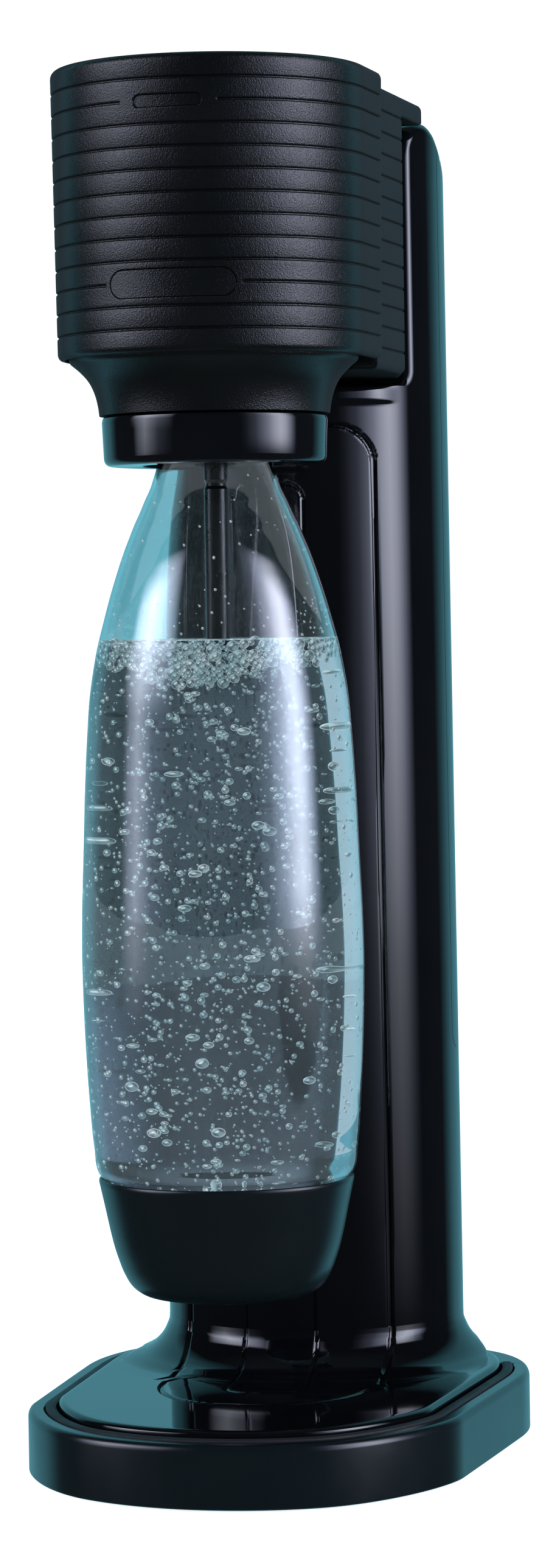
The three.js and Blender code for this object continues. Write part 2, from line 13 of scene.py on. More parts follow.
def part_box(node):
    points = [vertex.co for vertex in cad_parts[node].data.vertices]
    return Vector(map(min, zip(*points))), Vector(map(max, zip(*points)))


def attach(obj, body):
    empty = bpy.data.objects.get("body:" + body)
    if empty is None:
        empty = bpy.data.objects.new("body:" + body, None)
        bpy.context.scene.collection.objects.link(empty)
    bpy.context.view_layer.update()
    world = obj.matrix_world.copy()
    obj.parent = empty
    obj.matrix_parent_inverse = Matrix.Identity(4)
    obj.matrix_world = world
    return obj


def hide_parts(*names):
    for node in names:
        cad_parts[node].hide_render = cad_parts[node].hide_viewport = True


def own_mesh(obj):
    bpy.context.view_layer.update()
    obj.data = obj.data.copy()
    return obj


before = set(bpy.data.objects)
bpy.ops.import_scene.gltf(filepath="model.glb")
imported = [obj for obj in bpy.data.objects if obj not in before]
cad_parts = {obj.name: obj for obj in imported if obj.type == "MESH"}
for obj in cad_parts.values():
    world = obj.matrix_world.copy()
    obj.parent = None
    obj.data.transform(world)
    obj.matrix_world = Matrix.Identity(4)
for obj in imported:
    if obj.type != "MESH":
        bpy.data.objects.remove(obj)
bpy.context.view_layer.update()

link = bpy.context.scene.collection.objects.link
columns = np.column_stack

# Lengths below are in millimetres from the bottle's axis, with z from the table.
MM = 0.001
bottle_lo, bottle_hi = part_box("bottle_body")
AXIS = np.array([(bottle_lo.x + bottle_hi.x) / 2, (bottle_lo.y + bottle_hi.y) / 2, 0.0])

# ---- camera ----
CAM_AZ, CAM_PITCH, CAM_ROLL = 0.25810667, 0.03773085, 0.01526955
CAM_PLACE = (0.35559661, -1.27927744, 0.26175996)  # from the bottle's axis, metres
CAM_LENS, CAM_SENSOR = 101.449, 36

forward = Vector((-sin(CAM_AZ) * cos(CAM_PITCH), cos(CAM_AZ) * cos(CAM_PITCH),
                  -sin(CAM_PITCH)))
level = Vector((cos(CAM_AZ), sin(CAM_AZ), 0))
upward = level.cross(forward)
side = level * cos(CAM_ROLL) - upward * sin(CAM_ROLL)
rise = upward * cos(CAM_ROLL) + level * sin(CAM_ROLL)
place = Vector(CAM_PLACE) + Vector(AXIS)
camera_data = bpy.data.cameras.new("camera")
camera = bpy.data.objects.new("camera", camera_data)
link(camera)
camera.matrix_world = Matrix(((side.x, rise.x, -forward.x, place.x), (side.y, rise.y, -forward.y, place.y),
                              (side.z, rise.z, -forward.z, place.z), (0, 0, 0, 1)))
camera_data.lens = CAM_LENS
camera_data.sensor_width = CAM_SENSOR
bpy.context.scene.camera = camera


# ---- mesh helpers ----
def smoothstep(lo, hi, v):
    t = np.clip((np.asarray(v, float) - lo) / (hi - lo), 0, 1)
    return t * t * (3 - 2 * t)


def resample(points, step, corner=35.0):
    """Refines a polyline to about `step` spacing: smooth through gentle corners, sharp ones are kept."""
    p = np.asarray(points, float)
    d = np.diff(p, axis=0)
    length = norm(d, axis=1)
    unit = d / length[:, None]
    n = len(p)
    tangents = np.zeros_like(p)
    sharp = np.ones(n, bool)
    for i in range(1, n - 1):
        angle = degrees(acos(max(-1.0, min(1.0, float(unit[i - 1] @ unit[i])))))
        sharp[i] = angle > corner
        w = length[i - 1] / (length[i - 1] + length[i])
        tangents[i] = unit[i - 1] * (1 - w) + unit[i] * w
    out = []
    for i in range(n - 1):
        a, b = p[i], p[i + 1]
        ta = unit[i] if sharp[i] else tangents[i]
        tb = unit[i] if sharp[i + 1] else tangents[i + 1]
        steps = max(1, int(round(length[i] / step)))
        for k in range(steps):
            t = k / steps
            h00, h10 = 2 * t ** 3 - 3 * t ** 2 + 1, t ** 3 - 2 * t ** 2 + t
            h01, h11 = -2 * t ** 3 + 3 * t ** 2, t ** 3 - t ** 2
            out.append(h00 * a + h10 * ta * length[i] + h01 * b + h11 * tb * length[i])
    out.append(p[-1])
    return np.array(out)


def make_mesh(name, verts_mm, faces):
    """A mesh object from millimetre corners, turned so that its faces look outwards."""
    v = np.asarray(verts_mm, float)
    triangles = np.array([(f[0], f[j], f[j + 1]) for f in faces for j in range(1, len(f) - 1)])
    a, b, c = (v[triangles[:, k]] for k in range(3))
    if np.sum(a * np.cross(b, c)) < 0:
        faces = [f[::-1] for f in faces]
    mesh = bpy.data.meshes.new(name)
    mesh.from_pydata((v * MM + AXIS).tolist(), [], faces)
    mesh.update()
    obj = bpy.data.objects.new(name, mesh)
    link(obj)
    return obj


def at_height(outline, z):
    """An outline in plan at one height, or with a height for each of its points."""
    return columns([outline, np.broadcast_to(z, len(outline))])


def quarter(steps, first=0):
    """(sine, 1 - cosine) over a quarter turn in equal steps, for rounding an edge."""
    angles = [radians(90 * k / steps) for k in range(first, steps + 1)]
    return [(sin(a), 1 - cos(a)) for a in angles]


def corner_arc(before, corner, after, radius, steps, most):
    """Points that round a corner, using at most a share of the lines on either side of it."""
    a, b = before - corner, after - corner
    length_a, length_b = norm(a), norm(b)
    a, b = a / length_a, b / length_b
    half = acos(max(-1, min(1, float(a @ b)))) / 2
    d = min(radius / tan(half), length_a * most, length_b * most)
    start, end = corner + a * d, corner + b * d
    return [(1 - t) ** 2 * start + 2 * t * (1 - t) * corner + t * t * end for t in np.linspace(0, 1, steps + 1)]


def rounded(points, radii, steps=6):
    """Rounds the corners of an open polyline."""
    p = [np.array(q, float) for q in points]
    out = [p[0]]
    for i in range(1, len(p) - 1):
        out += corner_arc(p[i - 1], p[i], p[i + 1], radii[i], steps, 0.49) if radii[i] > 0 else [p[i]]
    return np.array(out + [p[-1]])


def evenly(loop, count=None, step=1.2):
    """A closed outline at even spacing."""
    loop = np.vstack([loop, loop[:1]])
    run = np.concatenate([[0], np.cumsum(norm(np.diff(loop, axis=0), axis=1))])
    at = np.linspace(0, run[-1], count or int(run[-1] / step), endpoint=False)
    return columns([np.interp(at, run, loop[:, k]) for k in (0, 1)])


def round_outline(points, radius):
    """A closed outline with rounded corners at even spacing, counter-clockwise."""
    p = [np.array(q, float) for q in points]
    made = []
    for i in range(len(p)):
        made += corner_arc(p[i - 1], p[i], p[(i + 1) % len(p)], radius, 8, 0.45)
    return evenly(made)


def skin(name, rows, wrap=False):
    """Joins closed rings of equal length: wrap joins the last ring to the first, else both ends are capped."""
    rows = np.asarray(rows, float)
    count, n = rows.shape[:2]
    faces = []
    for a in range(count if wrap else count - 1):
        b = (a + 1) % count
        faces += [(a * n + i, a * n + (i + 1) % n, b * n + (i + 1) % n, b * n + i) for i in range(n)]
    if not wrap:
        faces += [tuple(range(n - 1, -1, -1)), tuple(range((count - 1) * n, count * n))]
    return make_mesh(name, rows.reshape(-1, 3), faces)


def lathe(name, profile, segments=128):
    """Turns a profile of (radius, height) about the bottle's axis; off the axis its ends are joined."""
    profile = np.asarray(profile, float)
    turns = [2 * pi * i / segments for i in range(segments)]
    verts, index = [], []
    for r, z in profile:
        if r < 1e-6:
            index.append([len(verts)] * segments)
            verts.append((0, 0, z))
        else:
            index.append(list(range(len(verts), len(verts) + segments)))
            verts += [(r * cos(a), r * sin(a), z) for a in turns]
    faces = []
    for k in range(len(profile) if profile[0][0] > 1e-6 else len(profile) - 1):
        this, other = index[k], index[(k + 1) % len(profile)]
        for i in range(segments):
            j = (i + 1) % segments
            corners = tuple(dict.fromkeys((this[i], this[j], other[j], other[i])))
            if len(corners) > 2:
                faces.append(corners)
    return make_mesh(name, verts, faces)


def disc(name, r, low, high, segments=64):
    return lathe(name, [(0, low), (r, low), (r, high), (0, high)], segments)


def arc(x, y, r, start, end, count):
    return [(x + r * cos(a), y + r * sin(a)) for a in np.linspace(start, end, count)]


def prism(name, outline, low, high, axis="z"):
    """A straight prism: the outline is in XY for axis z, in YZ for x, and in XZ for y."""
    outline = np.asarray(outline, float)
    place = {"z": lambda p, h: (p[0], p[1], h), "x": lambda p, h: (h, p[0], p[1]),
             "y": lambda p, h: (p[0], h, p[1])}[axis]
    return skin(name, [[place(p, h) for p in outline] for h in (low, high)])


def merge_close(obj, distance=1e-6):
    bm = bmesh.new()
    bm.from_mesh(obj.data)
    bmesh.ops.remove_doubles(bm, verts=bm.verts, dist=distance)
    bmesh.ops.dissolve_degenerate(bm, edges=bm.edges, dist=distance / 10)
    bm.to_mesh(obj.data)
    bm.free()
    return obj


def combine(obj, other, operation):
    """Applies a boolean with another solid, which is then removed."""
    mod = obj.modifiers.new("cut", "BOOLEAN")
    mod.operation = operation
    mod.object = other
    mod.solver = "MANIFOLD"
    bpy.context.view_layer.update()
    done = bpy.data.meshes.new_from_object(obj.evaluated_get(bpy.context.evaluated_depsgraph_get()))
    obj.modifiers.clear()
    obj.data = done
    bpy.data.objects.remove(other)
    if len(obj.data.polygons) == 0:
        raise RuntimeError(f"{obj.name}: nothing is left after {operation}")
    return obj


cut, keep, join = (partial(combine, operation=way) for way in ("DIFFERENCE", "INTERSECT", "UNION"))


def copy_of(obj, name):
    made = bpy.data.objects.new(name, obj.data.copy())
    link(made)
    return made


def finish_piece(obj, material, body, slot, *nodes, sharp=32.0):
    obj.data.shade_smooth()
    obj.data.set_sharp_from_angle(angle=radians(sharp))
    obj.data.materials.clear()
    obj.data.materials.append(material)
    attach(obj, body)
    if nodes:
        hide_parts(*nodes)
    return obj


# ---- materials ----
class Nodes:
    """The nodes of one material or world, with short calls for the kinds used here."""

    def __init__(self, owner):
        owner.use_nodes = True
        self.nodes, self.links = owner.node_tree.nodes, owner.node_tree.links
        self.coord = self.add("TexCoord")

    def add(self, kind, **settings):
        node = self.nodes.new("ShaderNode" + kind)
        for name, value in settings.items():
            setattr(node, name, value)
        return node

    def feed(self, socket, value):
        """Links another socket to this one, or sets its value."""
        if isinstance(value, bpy.types.NodeSocket):
            self.links.new(value, socket)
        else:
            socket.default_value = value

    def set(self, socket, value):
        self.feed(self.nodes["Principled BSDF"].inputs[socket], value)

    def calc(self, operation, *values):
        node = self.add("Math", operation=operation)
        for socket, value in zip(node.inputs, values):
            self.feed(socket, value)
        return node.outputs[0]

    def ramp(self, factor, *stops):
        """Colours or plain numbers at places from 0 to 1."""
        made = self.add("ValToRGB")
        elements = made.color_ramp.elements
        while len(elements) < len(stops):
            elements.new(0.5)
        for element, (spot, value) in zip(elements, stops):
            element.position = spot
            element.color = (*(value if isinstance(value, tuple) else (value,) * 3), 1)
        self.feed(made.inputs["Fac"], factor)
        return made.outputs["Color"]

    def noise(self, scale, detail=3.0, rough=0.5, stretch=None):
        tex = self.add("TexNoise")
        for socket, value in (("Scale", scale), ("Detail", detail), ("Roughness", rough)):
            tex.inputs[socket].default_value = value
        source = self.coord.outputs["Object"]
        if stretch:
            mapping = self.add("Mapping")
            mapping.inputs["Scale"].default_value = stretch
            self.feed(mapping.inputs["Vector"], source)
            source = mapping.outputs["Vector"]
        self.feed(tex.inputs["Vector"], source)
        return tex.outputs["Fac"]

    def facing(self):
        weight = self.add("LayerWeight")
        weight.inputs["Blend"].default_value = 0.5
        return weight.outputs["Facing"]

    def bump(self, height, distance_mm, strength):
        node = self.add("Bump")
        node.inputs["Distance"].default_value = distance_mm * MM
        node.inputs["Strength"].default_value = strength
        self.feed(node.inputs["Height"], height)
        self.set("Normal", node.outputs["Normal"])


def start_material(name, **uniform):
    """A material and its nodes; each uniform value goes straight on the shader's socket of that name."""
    material = bpy.data.materials.new(name)
    made = Nodes(material)
    for socket, value in uniform.items():
        made.set(socket.replace("_", " "), value)
    return material, made


def plastic(name, dark, light, rough, grain=None, smudge=60, edge_rough=None, **uniform):
    """Moulded plastic: slow colour drift, roughness drift, and an optional fine grain."""
    material, made = start_material(name, **uniform)
    made.set("Base Color", made.ramp(made.noise(35, 4), (0.3, dark), (0.7, light)))
    roughness = made.ramp(made.noise(smudge, 5, 0.6), (0.35, rough[0]), (0.7, rough[1]))
    if edge_rough:
        grazing = made.ramp(made.facing(), (0.42, 0.0), (0.72, edge_rough))
        roughness = made.calc("MAXIMUM", roughness, grazing)
    made.set("Roughness", roughness)
    if grain:
        scale, depth_mm, strength = grain
        made.bump(made.noise(scale, 2, 0.55), depth_mm, strength)
    return material


def metal(name, dark, light, rough):
    """Metal brushed round its vertical axis."""
    material, made = start_material(name, Metallic=1.0)
    brushed = made.noise(180, 3, 0.6, (1, 1, 30))
    made.set("Base Color", made.ramp(brushed, (0.3, dark), (0.7, light)))
    made.set("Roughness", made.ramp(brushed, (0.3, rough[0]), (0.7, rough[1])))
    made.bump(brushed, 0.02, 0.4)
    return material


def clear_material(name, dark, light, ior, most_rough, painted_glow=None, **uniform):
    """Clear plastic or water, with an optional painted glow that grows as the surface turns from the eye."""
    material, made = start_material(name, IOR=ior, Transmission_Weight=1.0, **uniform)
    made.set("Base Color", made.ramp(made.noise(18, 2), (0.3, dark), (0.7, light)))
    made.set("Roughness", made.ramp(made.noise(40, 3), (0.3, 0.0), (0.7, most_rough)))
    if painted_glow:
        # the painted glow, broken up by a fine speckle
        speckle = made.ramp(made.noise(420, 3, 0.6, (1, 1, 1.6)), (0.3, 0.5), (0.75, 1.0))
        made.set("Emission Strength", made.calc("MULTIPLY", made.ramp(made.facing(), *painted_glow), speckle))
    return material


# the upper front side of each bubble, where a painted glint is put
PAINTED_GLINT_SIDE = (-0.20, -0.85, 0.49)


def bubble_material(name, strength):
    """A painted glow round a bubble's rim and a painted glint on its upper front side, both emission, nearly clear
    through the middle.
    """
    material, made = start_material(name, IOR=1.33, Roughness=0.1)
    tint, facing = made.noise(150, 2), made.facing()
    made.set("Base Color", made.ramp(tint, (0.35, (0.16, 0.22, 0.24)), (0.65, (0.26, 0.34, 0.36))))
    made.set("Emission Color", made.ramp(tint, (0.3, (0.42, 0.60, 0.64)), (0.5, (0.75, 0.90, 0.94)), (0.7, 1.0)))
    # emission paints a glow round the rim and a glint on the upper front side, not light from any lamp
    rim = made.ramp(facing, (0.10, 0.16), (0.30, 0.12), (0.55, 0.35), (0.8, 1.0), (0.97, 0.5))
    lit = made.add("VectorMath", operation="DOT_PRODUCT")
    made.feed(lit.inputs[0], made.coord.outputs["Normal"])
    made.feed(lit.inputs[1], PAINTED_GLINT_SIDE)
    painted_glint = made.ramp(lit.outputs["Value"], (0.80, 0.0), (0.93, 1.6))
    made.set("Emission Strength", made.calc("MULTIPLY", made.calc("ADD", rim, painted_glint), strength))
    made.set("Alpha", made.ramp(facing, (0.05, 0.8), (0.2, 0.25), (0.5, 0.45), (0.8, 0.95)))
    return material


# dark and light colour, lowest and highest roughness, and grain as (scale, depth in mm, strength)
MATTE = plastic("matte_grained", (0.0020, 0.0027, 0.0031), (0.0030, 0.0037, 0.0042), (0.27, 0.33),
                grain=(2400, 0.13, 1.0), edge_rough=0.75)
GLOSS = plastic("gloss_black", (0.0025, 0.003, 0.004), (0.0035, 0.004, 0.0052), (0.035, 0.065), smudge=25)
SATIN = plastic("satin_dark", (0.0026, 0.0056, 0.0068), (0.0036, 0.0068, 0.0080), (0.26, 0.31),
                grain=(900, 0.01, 0.25))
SKIRT = plastic("skirt_sheen", (0.0032, 0.0068, 0.0085), (0.0042, 0.0080, 0.0098), (0.20, 0.25),
                grain=(900, 0.01, 0.2))
TRIM = plastic("trim_coarse", (0.010, 0.010, 0.012), (0.022, 0.022, 0.025), (0.55, 0.7),
               grain=(1500, 0.12, 0.9))
RUBBER = plastic("rubber", (0.006, 0.006, 0.006), (0.012, 0.012, 0.012), (0.75, 0.88), grain=(700, 0.06, 0.6))
INNER = plastic("inner_grey", (0.035, 0.038, 0.043), (0.05, 0.054, 0.06), (0.5, 0.6), grain=(900, 0.03, 0.4))
WHITE = plastic("white_plastic", (0.62, 0.62, 0.63), (0.72, 0.72, 0.73), (0.4, 0.5), grain=(500, 0.02, 0.3))
STEEL = metal("steel", (0.40, 0.41, 0.42), (0.55, 0.56, 0.57), (0.24, 0.36))
BRASS = metal("brass", (0.50, 0.36, 0.13), (0.62, 0.46, 0.19), (0.26, 0.38))
CYLINDER = plastic("cylinder_paint", (0.22, 0.24, 0.26), (0.30, 0.32, 0.34), (0.28, 0.4), grain=(300, 0.05, 0.4),
                   Metallic=0.6)
CLEAR = clear_material("clear_bottle", (0.93, 0.97, 0.975), (0.97, 0.99, 0.99), 1.57, 0.012)
# the water carries a painted glow: emission, stronger where its surface turns from the eye
WATER = clear_material("water", (0.52, 0.68, 0.73), (0.58, 0.73, 0.78), 1.33, 0.01,
                       painted_glow=[(0.05, 0.003), (0.25, 0.04), (0.5, 0.18), (0.8, 0.27), (1.0, 0.29)],
                       Emission_Color=(0.62, 0.84, 0.92, 1))
# both bubble materials carry a painted rim glow and a painted glint
BUBBLE = bubble_material("bubble", 0.75)
FOAM = bubble_material("foam_painted_glow", 0.60)

# ---- base ----
BASE_FRONT, BASE_BACK, BASE_ARC_R = -44.4, 141.0, 74.4


def bezier(p, q, r, s, steps):
    p, q, r, s = (np.array(v, float) for v in (p, q, r, s))
    t = np.linspace(0, 1, steps + 1)[:, None]
    return (1 - t) ** 3 * p + 3 * (1 - t) ** 2 * t * q + 3 * (1 - t) * t * t * r + t ** 3 * s


def base_plan():
    """Counter-clockwise outline of the base at even spacing, starting at the middle of the front."""
    xs = np.linspace(0, 36.4, 40)
    front = columns([xs, BASE_FRONT + BASE_ARC_R - np.sqrt(BASE_ARC_R ** 2 - xs ** 2)])
    corner = bezier(front[-1], (53.5, -25.3), (67.2, 1.4), (68.4, 16.1), 60)
    flank = bezier((68.4, 16.1), (69.8, 40), (71.2, 63), (72.4, 86), 30)
    rear = bezier((72.4, 86), (73.6, 117), (57, BASE_BACK), (33, BASE_BACK), 60)
    back = columns([np.linspace(33, 0, 16), np.full(16, BASE_BACK)])
    right = np.vstack([front, corner[1:], flank[1:], rear[1:], back[1:]])
    return evenly(np.vstack([right, right[-2:0:-1] * (-1, 1)]), 420)


def inward(outline):
    """Unit normals of a closed counter-clockwise outline, pointing in, lightly smoothed."""
    ahead = np.roll(outline, -1, 0) - np.roll(outline, 1, 0)
    normal = columns([-ahead[:, 1], ahead[:, 0]])
    for _ in range(6):
        normal = (np.roll(normal, 1, 0) + normal * 2 + np.roll(normal, -1, 0)) / 4
    return normal / norm(normal, axis=1)[:, None]


PLAN = base_plan()
PLAN_IN = inward(PLAN)
BAND_BACK, SKIRT_TOP = 113.0, 20.0


def plan_ring(inset, z):
    """The base outline pulled in, by one inset or by one for each point, at a height."""
    return at_height(PLAN + PLAN_IN * np.broadcast_to(inset, len(PLAN))[:, None], z)


skirt_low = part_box("base_skirt")[0].z / MM
outer_edge = rounded(
    [(1.4, skirt_low), (0.0, skirt_low + 0.5), (0.0, 18.4), (0.9, SKIRT_TOP), (4.6, SKIRT_TOP)],
    [0, 0.6, 3.6, 2.4, 0], 8)
behind = smoothstep(BAND_BACK - 0.2, BAND_BACK + 0.2, PLAN[:, 1])  # 1 behind the band's ends
rows = [plan_ring(i, z) for i, z in [
    *outer_edge, (4.9 + behind * 3.6, 19.75 + behind * 0.25), (5.0 + behind * 3.7, 19.4 + behind * 0.3),
    (5.0 + behind * 3.7, 17.2), (8.8, 17.1), (8.8, 14.2), (2.9, 14.0), (2.9, skirt_low + 0.3)]]
skirt = skin("base_skirt_moulding", rows, wrap=True)
finish_piece(skirt, SKIRT, "base", "gloss_black", "base_skirt")

# the band is an open strip that ends on both sides of the column
in_front = PLAN[:, 1] < BAND_BACK - 0.4
start = int(np.argmin(in_front))
order = sorted(np.flatnonzero(in_front), key=lambda i: (i - start) % len(PLAN))
band_section = rounded([(5.35, 17.35), (5.35, 20.5), (6.3, 20.7), (7.7, 20.7), (8.7, 20.35), (8.7, 17.35)],
                       [0, 0.5, 0.5, 0.5, 0.4, 0], 4)
strip = [[(*(PLAN[i] + PLAN_IN[i] * s), z) for s, z in band_section] for i in order]
band = skin("base_band_strip", strip)
finish_piece(band, TRIM, "base", "trim_black", "base_band", sharp=50)

# ---- column plan ----
COL_Y, COL_FRONT, COL_BACK, COL_POWER = 107.0, 47.0, 27.0, 2.6
LIP_Z, ARM_Y, COL_LOW = 334.0, 84.2, 37.03


def column_half(z):
    return 47.9 + (46.2 - 47.9) * np.clip((np.asarray(z, float) - 40) / 360, 0, 1)


def groove_line(z):
    """Half width of the outer groove, wider towards the foot."""
    return 33.0 - np.clip((np.asarray(z, float) - 40) / 280, 0, 1) * 1.6


def spaced(*spans):
    """Values from spans of (start, end, step), each end left to the next span."""
    out = []
    for a, b, step in spans:
        out.extend(np.linspace(a, b, max(1, int(round(abs(b - a) / step))), endpoint=False))
    return out


# front columns as x / half width, on the right half from the middle out, finer at the grooves
front_u = spaced((0, 0.10, 0.04), (0.10, 0.27, 0.0085), (0.27, 0.44, 0.034), (0.44, 0.62, 0.0125),
                 (0.62, 0.74, 0.0075), (0.74, 0.82, 0.016), (0.82, 0.96, 0.010), (0.96, 0.99, 0.006))
front_angle = np.arcsin(np.array(front_u))  # 0 at the middle of the front
front_angle = np.concatenate([front_angle, np.linspace(asin(0.99), pi / 2, 8)])
back_angle = np.linspace(0, pi, 90)[1:-1]


def column_ring(z, pull=0.0):
    """Closed outline of the column at one height, pulled in: front right, back, front left."""
    a, depth, back = float(column_half(z)) - pull, COL_FRONT - pull, COL_BACK - pull
    right = columns([a * np.sin(front_angle), COL_Y - depth * np.cos(front_angle)])
    c, s = np.cos(back_angle), np.sin(back_angle)
    rear = columns([a * np.sign(c) * np.abs(c) ** (2 / COL_POWER), COL_Y + back * s ** (2 / COL_POWER)])
    return np.vstack([right, rear, right[::-1][:-1] * (-1, 1)])


# ---- base top: flare and plate ----
OUTER_LOOP = [(33.2, 84), (33.3, 62), (33.4, 46), (31.6, 33), (26.5, 21.5), (18.5, 13.2), (9, 9.2), (0, 8.2)]
INNER_LOOP = [(11.6, 70), (11.7, 52), (12.2, 40.5), (10.2, 33.2), (5.6, 29.2), (0, 28.2)]
PLATE_Z, PLATE_INSET, PLATE_STEPS = 22.6, 13.0, 150


def loop_distance(points, half):
    """Distance in plan from each point to a loop, which is given by its right half."""
    path = resample(half, 0.25, 60)
    path = np.vstack([path, path[::-1][1:] * (-1, 1)])
    tree = KDTree(len(path))
    for i, p in enumerate(path):
        tree.insert((p[0], p[1], 0), i)
    tree.balance()
    return np.array([tree.find((p[0], p[1], 0))[2] for p in points])


def channel(distance, half, depth):
    """Depth of a rounded channel at a distance from its middle."""
    return depth * (1 - smoothstep(half * 0.35, half * 1.15, distance))


flare = rounded([(0, 37.0), (0.1, 34.5), (2.2, 29.6), (6.6, 25.2), (14.5, 22.75), (24, PLATE_Z)],
                [0, 6, 14, 16, 18, 0], 7)
plate_edge = rounded([(PLATE_INSET, PLATE_Z), (10.6, PLATE_Z), (9.5, 21.7), (9.4, 17.4)], [0, 2.4, 1.6, 0], 5)


def plan_point(angle, inset):
    """Where a ray from the middle of the column's foot meets the base outline pulled in by an inset."""
    ring = PLAN + PLAN_IN * inset
    around = np.unwrap(np.arctan2(ring[:, 1] - COL_Y, ring[:, 0]))
    by_angle = np.argsort(around)
    around, ring = around[by_angle], ring[by_angle]
    middle = np.mean(around)
    wrapped = middle + (angle - middle + pi) % (2 * pi) - pi
    thrice = np.concatenate([around - 2 * pi, around, around + 2 * pi])
    return columns([np.interp(wrapped, thrice, np.tile(ring[:, k], 3)) for k in (0, 1)])


# directions from the middle of the column's foot, finer towards the front
FRONT_END = -pi / 2 + 0.95
foot_angle = np.concatenate([np.linspace(-pi / 2, FRONT_END, 150, endpoint=False),
                             np.linspace(FRONT_END, pi / 2, 60, endpoint=False)])
foot_angle = np.concatenate([foot_angle, [pi / 2], -pi - foot_angle[:0:-1]])


def foot_ring(out):
    """The column's foot outline, pushed out, at the same directions from its middle."""
    a, depth, back = 47.9 + out, COL_FRONT + out, COL_BACK + out
    c, s = np.cos(foot_angle), np.sin(foot_angle)
    ellipse = 1 / np.sqrt((c / a) ** 2 + (s / depth) ** 2)
    boxy = (np.abs(c / a) ** COL_POWER + np.abs(s / back) ** COL_POWER) ** (-1 / COL_POWER)
    reach = np.where(s < 0, ellipse, boxy)
    return columns([reach * c, COL_Y + reach * s])


inner = plan_point(foot_angle, PLATE_INSET)
reach_limit = norm(inner - (0, COL_Y), axis=1)
surface = []
for out, z in flare:
    ring = foot_ring(out) - (0, COL_Y)
    scale = np.minimum(1, (reach_limit - 0.6 * (1 - out / 26)) / norm(ring, axis=1))
    surface.append(at_height(ring * scale[:, None] + (0, COL_Y), z))
on_plate = len(surface) + 10
flat_from = surface[-1][:, :2]
surface += [at_height(flat_from * (1 - t) + inner * t, PLATE_Z)
            for t in np.arange(1, PLATE_STEPS) / PLATE_STEPS]
surface += [at_height(plan_point(foot_angle, float(i)), z) for i, z in plate_edge]
surface = np.array(surface)
# the grooves are sunk along the surface's own normals
du = np.roll(surface, -1, 1) - np.roll(surface, 1, 1)
dv = np.zeros_like(surface)
dv[1:-1] = surface[2:] - surface[:-2]
dv[0], dv[-1] = surface[1] - surface[0], surface[-1] - surface[-2]
normal = np.cross(dv, du)
size = norm(normal, axis=2, keepdims=True)
normal = np.where(size > 1e-9, normal / np.maximum(size, 1e-9), 0)
normal *= np.sign(np.sum(normal[on_plate, :, 2]))
flat = surface[:, :, :2].reshape(-1, 2)
sunk = np.maximum(channel(loop_distance(flat, OUTER_LOOP), 0.8, 0.75),
                  channel(loop_distance(flat, INNER_LOOP), 0.7, 0.6))
surface = surface - normal * sunk.reshape(surface.shape[:2])[:, :, None]
rows = [at_height(foot_ring(o), z) for o, z in [(-4.4, 24.0), (-4.4, 36.6), (-4.0, 37.0), (-0.5, 37.0)]]
base_top = merge_close(skin("base_top_moulding", np.concatenate([rows, surface])))
finish_piece(base_top, GLOSS, "base", "gloss_black", "base_top", sharp=40)

# ---- column ----
CREST_Y, CREST_Z, ARM_TOP = 96.0, 417.4, 408.6
TOP_PROFILE = resample([(ARM_Y, 339), (ARM_Y, ARM_TOP), (85.2, 412.4), (87.6, 415), (91, 416.7), (CREST_Y, CREST_Z),
                        (100, 415.9), (104, 413), (108, 409.8), (113, 405.4), (122, 396), (129, 386), (133, 376),
                        (137, 364)], 0.5, 50)
arm_front = TOP_PROFILE[(TOP_PROFILE[:, 0] <= CREST_Y) & (TOP_PROFILE[:, 1] > ARM_TOP)]
arm_front = np.vstack([[ARM_Y, ARM_TOP], np.maximum(arm_front, (ARM_Y, ARM_TOP))])
arm_rear = TOP_PROFILE[TOP_PROFILE[:, 0] >= CREST_Y]
ROUND_SIDE, ROUND_ARM, ROUND_BACK = 3.2, 2.6, 4.0


def smooth_max(a, b, k):
    h = np.maximum(k - np.abs(a - b), 0) / k
    return np.maximum(a, b) + h * h * k / 4


def crown(y):
    """Height of the arms' top edge over a depth."""
    return np.where(y < CREST_Y, np.interp(y, *arm_front.T), np.interp(y, *arm_rear.T))


def panel_distance(x, z, half, top, radius):
    """Signed distance to an inverted U in X and Z, negative inside."""
    qx, qz = np.abs(x) - (half - radius), z - (top - radius)
    return (np.hypot(np.maximum(qx, 0), np.maximum(qz, 0)) + np.minimum(np.maximum(qx, qz), 0)) - radius


PANEL_TOP, PANEL_R, INNER_TOP, INNER_HALF, INNER_R = 321.7, 11.7, 303.4, 11.1, 5.4


